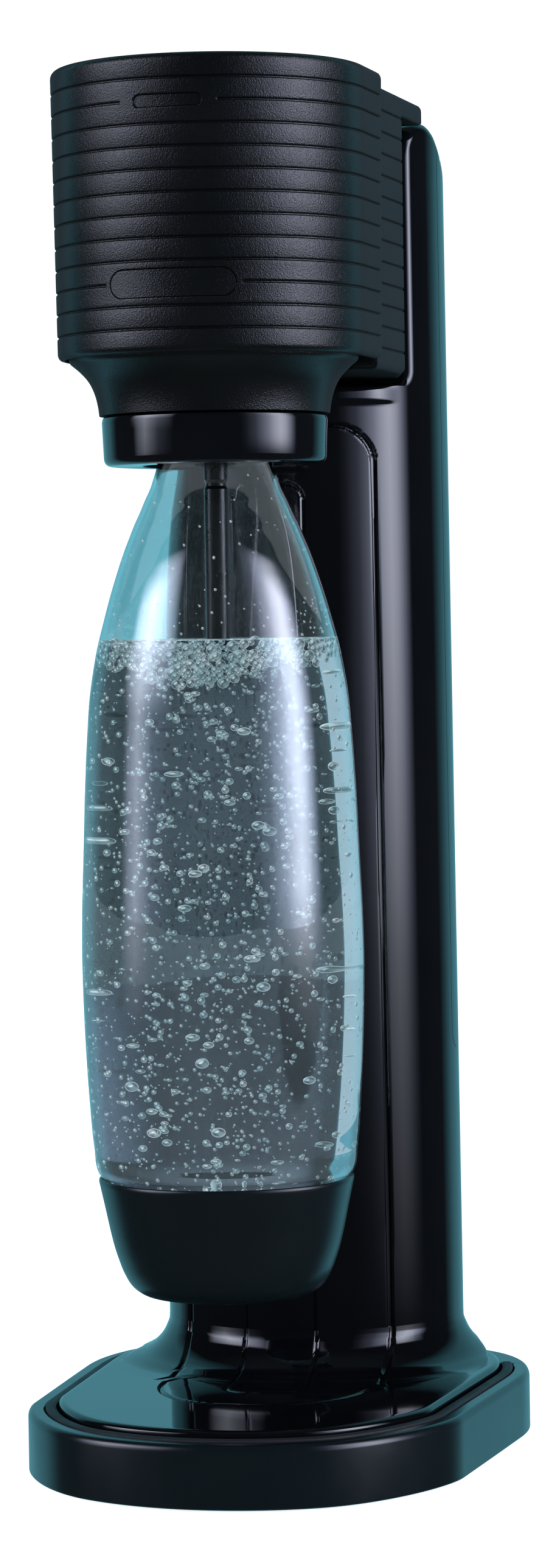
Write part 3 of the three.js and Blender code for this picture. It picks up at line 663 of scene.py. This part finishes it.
def column_level(z, front=None, rear=None, out=0.0):
    """One outline of the column with its front cut, its sloping back, its collar and its grooves."""
    ring = column_ring(z)
    x, y = ring.T
    normal = columns([x / 46.5 ** 2, (y - COL_Y) / 47.0 ** 2])
    normal /= norm(normal, axis=1)[:, None]
    in_front = 1 - smoothstep(70, 80, y)
    y = y + normal[:, 1] * out * in_front
    x = x + normal[:, 0] * out * in_front
    sunk = np.zeros(len(x))
    if z < 330:
        d = np.abs(panel_distance(x, z, groove_line(z), PANEL_TOP, PANEL_R))
        e = np.abs(panel_distance(x, z, INNER_HALF, INNER_TOP, INNER_R))
        sunk = np.maximum(channel(d, 0.85, 0.95), channel(e, 0.62, 0.6)) * (ring[:, 1] < 95)
    x, y = x - normal[:, 0] * sunk, y - normal[:, 1] * sunk
    if front is not None:
        y = smooth_max(y, front, ROUND_ARM)
    if rear is not None:
        y = -smooth_max(-y, -rear, ROUND_BACK)
    if z > 345:
        room = np.clip(crown(y) - z, 0, ROUND_SIDE)
        fall = ROUND_SIDE - np.sqrt(np.maximum(ROUND_SIDE ** 2 - (ROUND_SIDE - room) ** 2, 0))
        x = np.sign(x) * np.maximum(np.abs(x) - fall, 0)
    return at_height(columns([x, y]), z)


COLLAR, COLLAR_LOW, COLLAR_RISE = 0.9, 328.0, 1.6
LIP_R, ARM_R, LEDGE_FRONT = 2.0, 5.0, 63.0
levels = [column_level(z) for z in spaced((COL_LOW, 290, 9), (290, 296, 1.0), (296, 305.5, 0.4), (305.5, 308.5, 1.0),
                                          (308.5, 324, 0.4), (324, COLLAR_LOW, 1.0))]
levels += [column_level(COLLAR_LOW + COLLAR_RISE * k / 6, out=COLLAR * float(smoothstep(0, 1, k / 6)))
           for k in range(7)]
levels += [column_level(z, out=COLLAR) for z in (330.2, 331.0, 331.8)]
levels += [column_level(LIP_Z - LIP_R + LIP_R * s, out=COLLAR - LIP_R * c) for s, c in quarter(8, 1)]
levels += [column_level(LIP_Z, front=LEDGE_FRONT + (ARM_Y - ARM_R - LEDGE_FRONT) * k / 8, out=COLLAR - LIP_R)
           for k in range(1, 9)]
levels += [column_level(LIP_Z + ARM_R * c, front=ARM_Y - ARM_R + ARM_R * s) for s, c in quarter(8, 1)]
for z in spaced((340.5, 362, 4), (362, 402, 1.6), (402, 413, 0.7), (413, 416.6, 0.3), (416.6, CREST_Z - 0.02, 0.1)):
    levels.append(column_level(z, front=float(np.interp(z, arm_front[:, 1], arm_front[:, 0])),
                               rear=float(np.interp(z, arm_rear[::-1, 1], arm_rear[::-1, 0]))))
outer = merge_close(skin("column_moulding", levels))


def tube(name, pull, low=29.0):
    return skin(name, [at_height(column_ring(z, pull), z) for z in (low, 40, 400, 430)])


def panel_cutter(name, grow):
    """The front panel's outline, from the foot up to its rounded top, as a solid through the front."""
    right = [(float(groove_line(z)) + grow, z) for z in np.linspace(28, PANEL_TOP - PANEL_R, 12)]
    r = PANEL_R + grow
    middle = right[-1][0] - r
    half = right + arc(middle, PANEL_TOP - PANEL_R, r, 0, pi / 2, 16)[1:]
    return prism(name, half + [(-x, z) for x, z in reversed(half)], 45, 95, "y")


CAVITY_SIDE = [(64, 28), (64, 330), (87.4, 330), (87.4, 408.4), (89.4, 411.6), (92, 413.0), (95.6, 413.6),
               (98.6, 412.4), (102, 410.0), (106, 406.8), (111, 402.4), (119.6, 393.4), (126, 384.2),
               (129.6, 374.6), (134, 361), (134, 28)]
panel = copy_of(outer, "front_panel_moulding")
keep(panel, panel_cutter("cutter", -0.12))
cut(panel, tube("cutter", 1.8))
finish_piece(panel, GLOSS, "base", "gloss_black", "front_panel")

cavity = tube("cavity", 3.2, 28.0)
keep(cavity, prism("cutter", CAVITY_SIDE, -60, 60, "x"))
cut(outer, cavity)


def cover_cutter(low, y, radius):
    """Everything behind a depth and above a height, with the corner between them rounded."""
    corner = arc(y + radius, low + radius, radius, pi, 1.5 * pi, 16)
    return prism("cutter", corner + [(150, low), (150, 430), (y, 430)], -60, 60, "x")


cover = copy_of(outer, "rear_cover_moulding")
keep(cover, cover_cutter(122.3, 103.3, 6.7))
finish_piece(cover, GLOSS, "rear_cover", "gloss_black", "rear_cover")
cut(outer, cover_cutter(122.0, 103.0, 7.0))
pocket = panel_cutter("pocket", 0.12)
cut(pocket, tube("cutter", 1.9, 27.0))
cut(outer, pocket)
cut(outer, prism("cutter", [(80, 343), (92, 343), (92, 405), (80, 405)], -35, 35, "x"))
finish_piece(outer, GLOSS, "base", "gloss_black", "column_shell")

# ---- head ----
HEAD_TOP, BUTTON_LOW, TRAVEL = 425.3, 339.2, 3.0
RIB_TOP, RIB_PITCH, RIBS = 418.05, 6.56, 12
SLOT = dict(half=10.4, tall=2.0, z=RIB_TOP - RIB_PITCH, depth=1.1, clear=14.5)
BADGE = dict(half=19.2, tall=4.3, z=RIB_TOP - 9 * RIB_PITCH, depth=0.9, clear=20.4)
# one groove between ribs: depth over the height from its middle
RIB_STEPS = [(-0.8, 0.0), (-0.52, 0.05), (-0.36, 0.22), (-0.12, 0.8), (0.12, 0.8), (0.36, 0.22), (0.52, 0.05),
             (0.8, 0.0)]
RIB_LEVELS = [RIB_TOP - i * RIB_PITCH for i in range(RIBS)]


def button_radius(z):
    return 46.7 + (z - BUTTON_LOW) / (HEAD_TOP - BUTTON_LOW)


def rib_depth(z):
    return float(np.interp(min((z - rib for rib in RIB_LEVELS), key=abs), *zip(*RIB_STEPS)))


def stadium_distance(s, z, spot):
    """Signed distance to a stadium laid on the head, s along the surface."""
    run = np.maximum(np.abs(s) - (spot["half"] - spot["tall"]), 0)
    return np.hypot(run, z - spot["z"]) - spot["tall"]


# distance along the front from the middle, right half
front_run = np.array(spaced((0, 7.6, 1.3), (7.6, 12.6, 0.2), (12.6, 14, 0.4), (14, 21.6, 0.22), (21.6, 74.2, 1.25)))
BUTTON_BACK, CORNER = 22.3, 1.2


def button_outline(z, pull):
    """Closed outline of the button at a height: front arc, straight sides, back with rounded corners."""
    r, base = button_radius(z), rib_depth(z)
    angle = np.clip(front_run / r, 0, pi / 2)
    x_run = r * np.sin(angle)
    depth = base * np.ones(len(front_run))
    for spot in (SLOT, BADGE):
        if abs(z - spot["z"]) < 0.85:  # the groove stops beside the plate
            depth *= smoothstep(spot["clear"], spot["clear"] + 0.5, x_run)
    for spot in (SLOT, BADGE):
        d = stadium_distance(x_run, z, spot)
        depth = np.maximum(depth, spot["depth"] * (1 - smoothstep(-0.32, 0.06, d)))
    angle = np.minimum(angle, pi / 2 - 1e-4)
    right = (r - pull - depth)[:, None] * columns([np.sin(angle), -np.cos(angle)])
    edge = r - pull - base
    flank = columns([np.full(10, edge), np.linspace(0, BUTTON_BACK - CORNER, 10)])
    turn = np.linspace(0, pi / 2, 6)[1:]
    corner = columns([edge - CORNER + CORNER * np.cos(turn),
                      BUTTON_BACK - CORNER + CORNER * np.sin(turn) - pull])
    back = columns([np.linspace(edge - CORNER, 0, 14)[1:], np.full(13, BUTTON_BACK - pull)])
    half = np.vstack([right, flank, corner, back])
    return np.vstack([half, half[-2:0:-1] * (-1, 1)])


EDGE_LOW, EDGE_TOP = (1.9, 1.5), 2.4  # rounding of the button's edges: height and inset below, radius above
z_rows = {rib + dz: 0.0 for rib in RIB_LEVELS for dz, _ in RIB_STEPS}
for spot in (SLOT, BADGE):
    for z in np.arange(spot["z"] - spot["tall"] - 0.6, spot["z"] + spot["tall"] + 0.6, 0.2):
        z_rows[float(z)] = 0.0
for s, c in quarter(7):
    z_rows[BUTTON_LOW + EDGE_LOW[0] * c] = EDGE_LOW[1] * (1 - s)
    z_rows[HEAD_TOP - EDGE_TOP + EDGE_TOP * s] = EDGE_TOP * c
rows, last = [], -99.0
for z in sorted(z_rows):
    if z - last >= 0.05:
        rows.append(at_height(button_outline(z, z_rows[z]), z))
        last = z
button = merge_close(skin("button_moulding", rows))


def d_outline(radius, back):
    return arc(0, 0, radius, pi, 2 * pi, 64) + [(radius, back), (-radius, back)]


cut(button, prism("cutter", d_outline(44.6, 40), 330, HEAD_TOP - 2.6))
join(button, disc("stem", 4, 380.4, HEAD_TOP - 1.5))
finish_piece(button, MATTE, "button", "matte_black", "button_shell")


def curved_plate(name, spot, inner_r, outer_r, gap=0.34):
    """A stadium cut from a round wall, a little smaller than its place in the button."""
    low, high = spot["z"] - 8, spot["z"] + 8
    shell = lathe(name, [(inner_r, low), (outer_r, low), (outer_r, high), (inner_r, high)], 384)
    tall, half = spot["tall"] - gap, spot["half"] - gap
    right = arc(half - tall, spot["z"], tall, -pi / 2, pi / 2, 20)
    return keep(shell, prism("cutter", right + [(-x, 2 * spot["z"] - z) for x, z in right], -60, -20, "y"))


finish_piece(curved_plate("slot_window", SLOT, 46.5, 47.02), MATTE, "button", "gloss_black", "slot_insert")
finish_piece(curved_plate("badge_blank", BADGE, 46.1, 46.84), MATTE, "button", "gloss_black", "badge_plate")

REAR_LOW, REAR_TOP, REAR_HALF, REAR_R = 336.4, HEAD_TOP - TRAVEL, 45.2, 2.2
rear_half = [(REAR_HALF, 22.7), (REAR_HALF, 58.5), (38.0, 83.6)]
rear_plan = round_outline([(-REAR_HALF, 22.7), *rear_half, *[(-x, y) for x, y in rear_half[:0:-1]]], 1.6)
rear_in = inward(rear_plan)
rear_rows = {}
for s, c in quarter(7):
    rear_rows[REAR_LOW + REAR_R * c] = REAR_R * (1 - s)
    rear_rows[REAR_TOP - REAR_R + REAR_R * s] = REAR_R * c
for rib in RIB_LEVELS:
    if rib - TRAVEL > REAR_LOW + 4:
        rear_rows.update({rib - TRAVEL + dz: depth for dz, depth in RIB_STEPS})
rows = [at_height(rear_plan + rear_in * rear_rows[z], z) for z in sorted(rear_rows)]
rear = merge_close(skin("head_rear_moulding", rows))
cap_plan = round_outline([(-REAR_HALF, 52), (REAR_HALF, 52), (REAR_HALF, 87.6), (-REAR_HALF, 87.6)], 2.0)
cap_in = inward(cap_plan)
cap_rows = [(0.6, 416.0), (0.2, 416.25), (0, 416.7), (0, REAR_TOP - REAR_R)]
cap_rows += [(REAR_R * c, REAR_TOP - REAR_R + REAR_R * s) for s, c in quarter(7, 1)]
join(rear, skin("cap", [at_height(cap_plan + cap_in * pull, z) for pull, z in cap_rows]))
join(rear, prism("front", d_outline(44, 23.7), 340.8, 419))
# the space inside follows the head's side chamfer
head_space = prism("cutter", d_outline(41.4, 95), 343.4, 416.2)
keep(head_space, prism("limit", [(-41.5, -60), (41.5, -60), (41.5, 58.5), (35, 83.6), (35, 96), (-35, 96),
                                 (-35, 83.6), (-41.5, 58.5)], 340, 420))
cut(rear, head_space)
join(rear, disc("well", 11.8, 393.6, 418))
cut(rear, disc("cutter", 9.8, 396.4, 420))
cut(rear, disc("cutter", 5, 390, 421))
cut(rear, disc("cutter", 9, 335, 346))
cut(rear, disc("cutter", 43.9, 330, 340.8, segments=128))
cut(rear, prism("cutter", [(77, 333), (86, 333), (86, 344.6)], -50, 50, "x"))
finish_piece(rear, MATTE, "base", "matte_black", "head_housing")

bowl_outside = resample([(34.6, 322.6), (35.0, 325.6), (35.9, 329.2), (37.6, 332.8), (40.2, 335.8), (43.0, 338.2)],
                        0.5, 60)
bowl = lathe("bowl_flare", [(12, 325.2), (12, 322.6), *bowl_outside, (43.4, 339.0), (43.4, 340.5), (41, 340.5),
                            (38.6, 337.6), (35.6, 333.6), (33.6, 329.6), (32.6, 325.2)], 160)
finish_piece(bowl, MATTE, "base", "matte_black", "bowl")

# ---- bottle holder ----
ring_outside = rounded([(22.4, 307.5), (33.35, 307.5), (33.9, 320.6), (33.6, 322.0), (30, 322.0)],
                       [0, 2.6, 0, 0.5, 0], 8)
holder_ring = lathe("bottle_ring", [(7.4, 319.2), (20.8, 319.2), (20.8, 309.6), (21.2, 308.2), *ring_outside,
                                    (7.4, 322.0)], 192)
finish_piece(holder_ring, GLOSS, "holder", "gloss_black", "holder_ring")
nozzle = lathe("nozzle_pipe", rounded([(0, 250), (2.3, 250), (3.6, 253), (3.6, 300), (3.1, 301), (3.1, 302),
                                       (3.6, 303), (3.6, 313.7), (0, 313.7)], [0, .4, .8, .3, .3, .3, .3, 0, 0], 4), 48)
finish_piece(nozzle, SATIN, "holder", "satin_black", "nozzle_tube")

# ---- press spring ----
SPRING_LOW, SPRING_HIGH, SPRING_R, SPRING_WIRE, SPRING_TURNS = 397.9, 421.5, 7.4, 0.78, 3
spring_rise = SPRING_HIGH - SPRING_LOW
spring_rows = []
for share in np.linspace(0, 1, 48 * SPRING_TURNS + 1):
    a = 2 * pi * SPRING_TURNS * share
    radial = np.array([cos(a), sin(a), 0.0])
    along = np.array([-radial[1], radial[0], spring_rise / (2 * pi * SPRING_TURNS * SPRING_R)])
    across = np.cross(radial, along / norm(along))
    middle = SPRING_R * radial + (0, 0, SPRING_LOW + spring_rise * share)
    spring_rows.append([middle + SPRING_WIRE * (cos(b) * radial + sin(b) * across)
                        for b in np.linspace(0, 2 * pi, 12, endpoint=False)])
spring = finish_piece(skin("press_spring", spring_rows), STEEL, "base", "steel", "button_spring", sharp=50)
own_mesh(spring)

# ---- bottle ----
BOTTLE_OUT = [(15.8, 317), (15.8, 310.8), (17.2, 308.2), (18.5, 304.4), (19.7, 300.8), (21.4, 297.2), (23.0, 293.5),
              (24.7, 289.9), (26.2, 286.2), (27.7, 282.5), (30.2, 275.3), (32.5, 267.9), (34.5, 260.6), (36.4, 253.3),
              (37.8, 246.0), (38.9, 238.6), (39.8, 227.7), (40.7, 212.9), (41.6, 190.9), (42.2, 176.2), (42.5, 161.5),
              (42.3, 146.7), (41.7, 130.0), (40.9, 116.0), (39.8, 103.0), (38.6, 95.5), (36.9, 93.0), (35.2, 90.0),
              (32.3, 77.0), (28.6, 66.8), (24.5, 61.6), (20, 61.0)]
WALL, FLOOR_Z, MOUTH_Z, MOUTH_R = 1.2, 61.0, 317, 15.8
outside = resample(BOTTLE_OUT, 1.0, 40)
along = np.gradient(outside, axis=0)
along /= norm(along, axis=1)[:, None]
inside = outside + columns([along[:, 1], -along[:, 0]]) * WALL
inside[0] = (MOUTH_R - WALL, MOUTH_Z)
bottle = lathe("bottle_shell", [(0, FLOOR_Z), *outside[::-1], *inside, (0, FLOOR_Z + WALL)], 192)
finish_piece(bottle, CLEAR, "bottle", "clear_plastic", "bottle_body", sharp=40)

cup_out = resample([(21.5, 57.9), (25.6, 58.7), (28.8, 60.9), (31.5, 65.3), (32.9, 69.0), (34.1, 72.8), (35.0, 76.4),
                    (35.8, 80.1), (36.7, 84.4), (38.5, 92.8)], 0.8, 50)
cup = lathe("cup_moulding", [(0, 57.9), *cup_out, (38.45, 93.5), (38.2, 93.85), (37.85, 93.9), (37.5, 93.7),
                             (36.9, 92.6), (36.3, 91.6), (32.9, 75.8), (28.5, 64), (23.8, 60.6), (0, 60.6)], 192)
finish_piece(cup, SATIN, "bottle", "satin_black", "bottle_cup")

# ---- water and bubbles ----
WATER_TOP, WATER_LOW = 255.0, 62.3
OVERLAP = 0.1  # the water reaches this far into the wall, so no air shows between them
upward_wall = inside[::-1]


def wall_radius(z):
    return float(np.interp(z, upward_wall[:, 1], upward_wall[:, 0]))


edge = wall_radius(WATER_TOP)
water_side = [(r + OVERLAP, z) for r, z in upward_wall if WATER_LOW + 0.1 < z < WATER_TOP - 1.2]
water = lathe("water_body", [(0, WATER_LOW), *water_side, (edge + OVERLAP, WATER_TOP + 0.6),
                             (edge - 0.8, WATER_TOP + 0.15), (edge - 2.2, WATER_TOP), (0, WATER_TOP)], 192)
finish_piece(water, WATER, "bottle", "clear_plastic", sharp=50)


def ball(level):
    """Corners and triangles of a unit ball made from an icosahedron split `level` times."""
    g = (1 + 5 ** 0.5) / 2
    v = [np.array(p, float) / hypot(1, g) for p in
         [(-1, g, 0), (1, g, 0), (-1, -g, 0), (1, -g, 0), (0, -1, g), (0, 1, g), (0, -1, -g), (0, 1, -g),
          (g, 0, -1), (g, 0, 1), (-g, 0, -1), (-g, 0, 1)]]
    f = [(0, 11, 5), (0, 5, 1), (0, 1, 7), (0, 7, 10), (0, 10, 11), (1, 5, 9), (5, 11, 4), (11, 10, 2),
         (10, 7, 6), (7, 1, 8), (3, 9, 4), (3, 4, 2), (3, 2, 6), (3, 6, 8), (3, 8, 9), (4, 9, 5), (2, 4, 11),
         (6, 2, 10), (8, 6, 7), (9, 8, 1)]
    for _ in range(level):
        middle, split = {}, []
        for a, b, c in f:
            ids = []
            for p, q in ((a, b), (b, c), (c, a)):
                key = (min(p, q), max(p, q))
                if key not in middle:
                    m = v[p] + v[q]
                    v.append(m / norm(m))
                    middle[key] = len(v) - 1
                ids.append(middle[key])
            ab, bc, ca = ids
            split += [(a, ab, ca), (b, bc, ab), (c, ca, bc), (ab, bc, ca)]
        f = split
    return np.array(v), np.array(f)


BALLS = {1: ball(1), 2: ball(2)}


def balls(name, spots, material):
    """One mesh of many little balls, each (x, y, z, radius, flatness)."""
    verts, faces, count = [], [], 0
    for x, y, z, r, flat in spots:
        v, f = BALLS[2 if r > 0.9 else 1]
        verts.append(v * (r, r, r * flat) + (x, y, z))
        faces.append(f + count)
        count += len(v)
    obj = make_mesh(name, np.vstack(verts), np.vstack(faces).tolist())
    return finish_piece(obj, material, "bottle", "clear_plastic", sharp=180)


random.seed(7)
# the side that most bubbles cling to, as an angle from +X
FRONT_SIDE = radians(-82)


def scatter(number, low, high, size, near_wall, flat=(1.0, 1.0), apart=0.0):
    """Bubbles between two heights, most of them at the wall: size is (least, most, how few are large)."""
    spots = []
    tries = 0
    while len(spots) < number and tries < number * 60:
        tries += 1
        z = random.uniform(low, high)
        r = size[0] + (size[1] - size[0]) * random.random() ** size[2]
        reach = wall_radius(z) - r - 0.35
        share = sqrt(random.random())
        if random.random() < near_wall:
            share = random.uniform(0.93, 1.0)
        a = random.gauss(FRONT_SIDE, 0.75) if random.random() < 0.6 else random.uniform(0, 2 * pi)
        spot = (reach * share * cos(a), reach * share * sin(a), z, r, random.uniform(*flat))
        if apart and any((spot[0] - q[0]) ** 2 + (spot[1] - q[1]) ** 2 + (spot[2] - q[2]) ** 2
                         < (apart * (r + q[3])) ** 2 for q in spots):
            continue
        spots.append(spot)
    return spots


small = scatter(2600, 66, WATER_TOP - 2, (0.2, 0.55, 1.8), 0.75)
medium = scatter(620, 120, WATER_TOP - 6, (0.55, 1.15, 2.0), 0.8, (0.85, 1.0))
medium += scatter(170, 66, 120, (0.55, 1.15, 2.0), 0.8, (0.8, 0.95))
large = scatter(70, 90, 235, (1.2, 2.3, 1.6), 0.8, (0.5, 0.75))


def foam_depth(x, y):
    """How far the foam hangs below the water's surface, deepest near the front."""
    return 4.5 + 8.5 * (0.5 + 0.5 * cos(1.6 * (atan2(x, -y) - 0.1)))


def wall_drop():
    """A drop on the dry wall: half of them are just above the water."""
    a = random.uniform(0, 2 * pi)
    low, high = (WATER_TOP + 2, 306) if random.random() < 0.5 else (WATER_TOP + 1, WATER_TOP + 12)
    z, r = random.uniform(low, high), random.uniform(0.18, 0.45)
    return wall_radius(z) * cos(a), wall_radius(z) * sin(a), z, r, 1.0


foam = scatter(620, WATER_TOP - 13, WATER_TOP - 0.4, (0.6, 1.9, 1.4), 0.85, (0.9, 1.0), 0.8)
foam = [q for q in foam if q[2] > WATER_TOP - foam_depth(q[0], q[1])]
drops = [wall_drop() for _ in range(150)]
for name, spots in (("bubbles_small", small), ("bubbles_medium", medium), ("bubbles_large", large),
                    ("foam_bubbles", foam), ("wall_drops", drops)):
    balls(name, spots, FOAM if name == "foam_bubbles" else BUBBLE)

# ---- carried-over CAD nodes ----
for material, names in [
        (INNER, "bottom_plate cylinder_seat nozzle_hub"), (RUBBER, "neck_seal foot_1 foot_2 foot_3 foot_4"),
        (STEEL, "screw_1 screw_2 screw_3 screw_4 valve_bracket valve_pin lever lever_pin"),
        (BRASS, "cylinder_valve valve_block relief_valve"), (WHITE, "cylinder_collar gas_tube"),
        (CYLINDER, "cylinder_body")]:
    for name in names.split():
        for material_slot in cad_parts[name].material_slots:
            material_slot.material = material

# ---- stage ----
FLOOR_HALF, FLOOR_GLOW, FLOOR_GLOW_IN_GLASS = 6, 0.9, 0.44
floor_mesh = bpy.data.meshes.new("floor")
floor_mesh.from_pydata([(x * FLOOR_HALF, y * FLOOR_HALF, 0) for x, y in ((-1, -1), (1, -1), (1, 1), (-1, 1))],
                       [], [(0, 1, 2, 3)])
floor = bpy.data.objects.new("floor", floor_mesh)
link(floor)
floor_mat, pale = start_material("floor_pale", Roughness=0.9, Specular_IOR_Level=0.0, Emission_Color=(1, 1, 1, 1))
pale.set("Base Color", pale.ramp(pale.noise(3, 2), (0.3, 0.90), (0.7, 0.93)))
pale.set("Emission Strength", pale.ramp(pale.add("LightPath").outputs["Is Transmission Ray"],
                                        (0.0, FLOOR_GLOW), (1.0, FLOOR_GLOW_IN_GLASS)))
floor.data.materials.append(floor_mat)
floor.visible_glossy = False

TEAL, LAMP_DIM, LAMP_BRIGHT, FILL = (0.13, 0.46, 0.57), (0.62, 0.70, 1.0), (0.80, 0.83, 1.0), (0.75, 0.95, 1.0)
BACKDROP = 1.05
# strength by angle round from the camera's side, and by height above the horizon, both in degrees
RIGHT_AROUND = [(27, 0.0), (33, 0.02), (43, 0.10), (50, 0.27), (57, 0.47), (65, 0.83), (72, 1.0), (78, 0.80),
                (83, 0.45), (88, 0.16), (92, 0.0)]
RIGHT_HEIGHT = [(-9, 0.0), (-4.4, 0.2), (-1.2, 0.62), (1, 0.88), (4, 1.0), (90, 1.0)]
LEFT_AROUND = [(-91, 0.0), (-84, 0.55), (-76, 1.0), (-68, 0.6), (-60, 0.2), (-48, 0.05), (-42, 0.0)]
LEFT_HEIGHT = [(-8, 0.0), (-3, 0.7), (4, 1.0), (90, 1.0)]
HIGH_AROUND = [(-96, 0.0), (-90, 0.8), (-74, 1.0), (-62, 0.8), (-50, 0.4), (-42, 0.0)]
HIGH_HEIGHT = [(6, 0.0), (14, 0.4), (26, 1.0), (90, 1.0)]
# the lamps' upper edges, and how far they drop as the direction turns away from LEAN_FROM degrees
LAMP_TOP = [(-90, 1.0), (36, 1.0), (41, 0.0), (90, 0.0)]
TOP_DROP, LEAN_FROM = 0.32, 45
TEAL_AROUND = [(-180, 1.0), (-136, 1.0), (-121, 0.0), (120, 0.0), (137, 1.0), (180, 1.0)]
TEAL_HEIGHT = [(-60, 0.0), (-35, 1.0), (40, 1.0), (60, 0.0)]
FILL_HEIGHT = [(-90, 0.3), (50, 0.3), (70, 1.0), (90, 1.0)]

world = bpy.data.worlds.new("studio")
bpy.context.scene.world = world
sky = Nodes(world)
split = sky.add("SeparateXYZ")
sky.feed(split.inputs["Vector"], sky.coord.outputs["Generated"])
# the direction round from the camera's side and the height above the horizon, both from 0 to 1
turn = sky.calc("ARCTAN2", split.outputs["X"], sky.calc("MULTIPLY", split.outputs["Y"], -1.0))
turn = sky.calc("WRAP", sky.calc("SUBTRACT", turn, CAM_AZ), pi, -pi)
share = sky.calc("DIVIDE", sky.calc("ADD", turn, pi), 2 * pi)
height = sky.calc("ADD", sky.calc("DIVIDE", sky.calc("ARCSINE", split.outputs["Z"]), pi), 0.5)
off_side = sky.calc("SUBTRACT", sky.calc("ABSOLUTE", sky.calc("SUBTRACT", share, 0.5)), LEAN_FROM / 360)
leaning = sky.calc("ADD", height, sky.calc("MULTIPLY", off_side, 2 * TOP_DROP))


def strength_ramp(factor, stops, whole, dim=(1, 1, 1), bright=(1, 1, 1)):
    """Strength at angles in degrees, over a whole range of them; its colour goes from dim to bright."""
    return sky.ramp(factor, *[(spot / whole + 0.5, tuple(v * (d + (b - d) * v) for d, b in zip(dim, bright)))
                              for spot, v in stops])


def glow(around, heights, strength, dim, bright=None):
    """A background light that is bright over some angles round and some heights."""
    made = sky.add("Background")
    sky.feed(made.inputs["Color"], strength_ramp(share, around, 360, dim, bright or dim) if around else (*dim, 1))
    level = sky.calc("MULTIPLY", strength_ramp(height, heights, 180), strength)
    if bright:
        level = sky.calc("MULTIPLY", level, strength_ramp(leaning, LAMP_TOP, 180))
    sky.feed(made.inputs["Strength"], level)
    return made.outputs["Background"]


def both(first, second):
    made = sky.add("AddShader")
    sky.feed(made.inputs[0], first)
    sky.feed(made.inputs[1], second)
    return made.outputs["Shader"]


lamps = both(glow(RIGHT_AROUND, RIGHT_HEIGHT, 10.0, LAMP_DIM, LAMP_BRIGHT),
             both(glow(LEFT_AROUND, LEFT_HEIGHT, 3.6, LAMP_DIM, LAMP_BRIGHT),
                  glow(HIGH_AROUND, HIGH_HEIGHT, 7.0, LAMP_DIM, LAMP_BRIGHT)))
studio = both(lamps, both(glow(TEAL_AROUND, TEAL_HEIGHT, 1.05, TEAL), glow(None, FILL_HEIGHT, 0.08, FILL)))
# the camera itself sees plain white
white = sky.nodes["Background"]
white.inputs["Color"].default_value = (1, 1, 1, 1)
white.inputs["Strength"].default_value = BACKDROP
chooser = sky.add("MixShader")
for socket, value in zip(chooser.inputs, (sky.add("LightPath").outputs["Is Camera Ray"], studio,
                                          white.outputs["Background"])):
    sky.feed(socket, value)
sky.feed(sky.nodes["World Output"].inputs["Surface"], chooser.outputs["Shader"])
bpy.context.scene.view_settings.view_transform = "Standard"
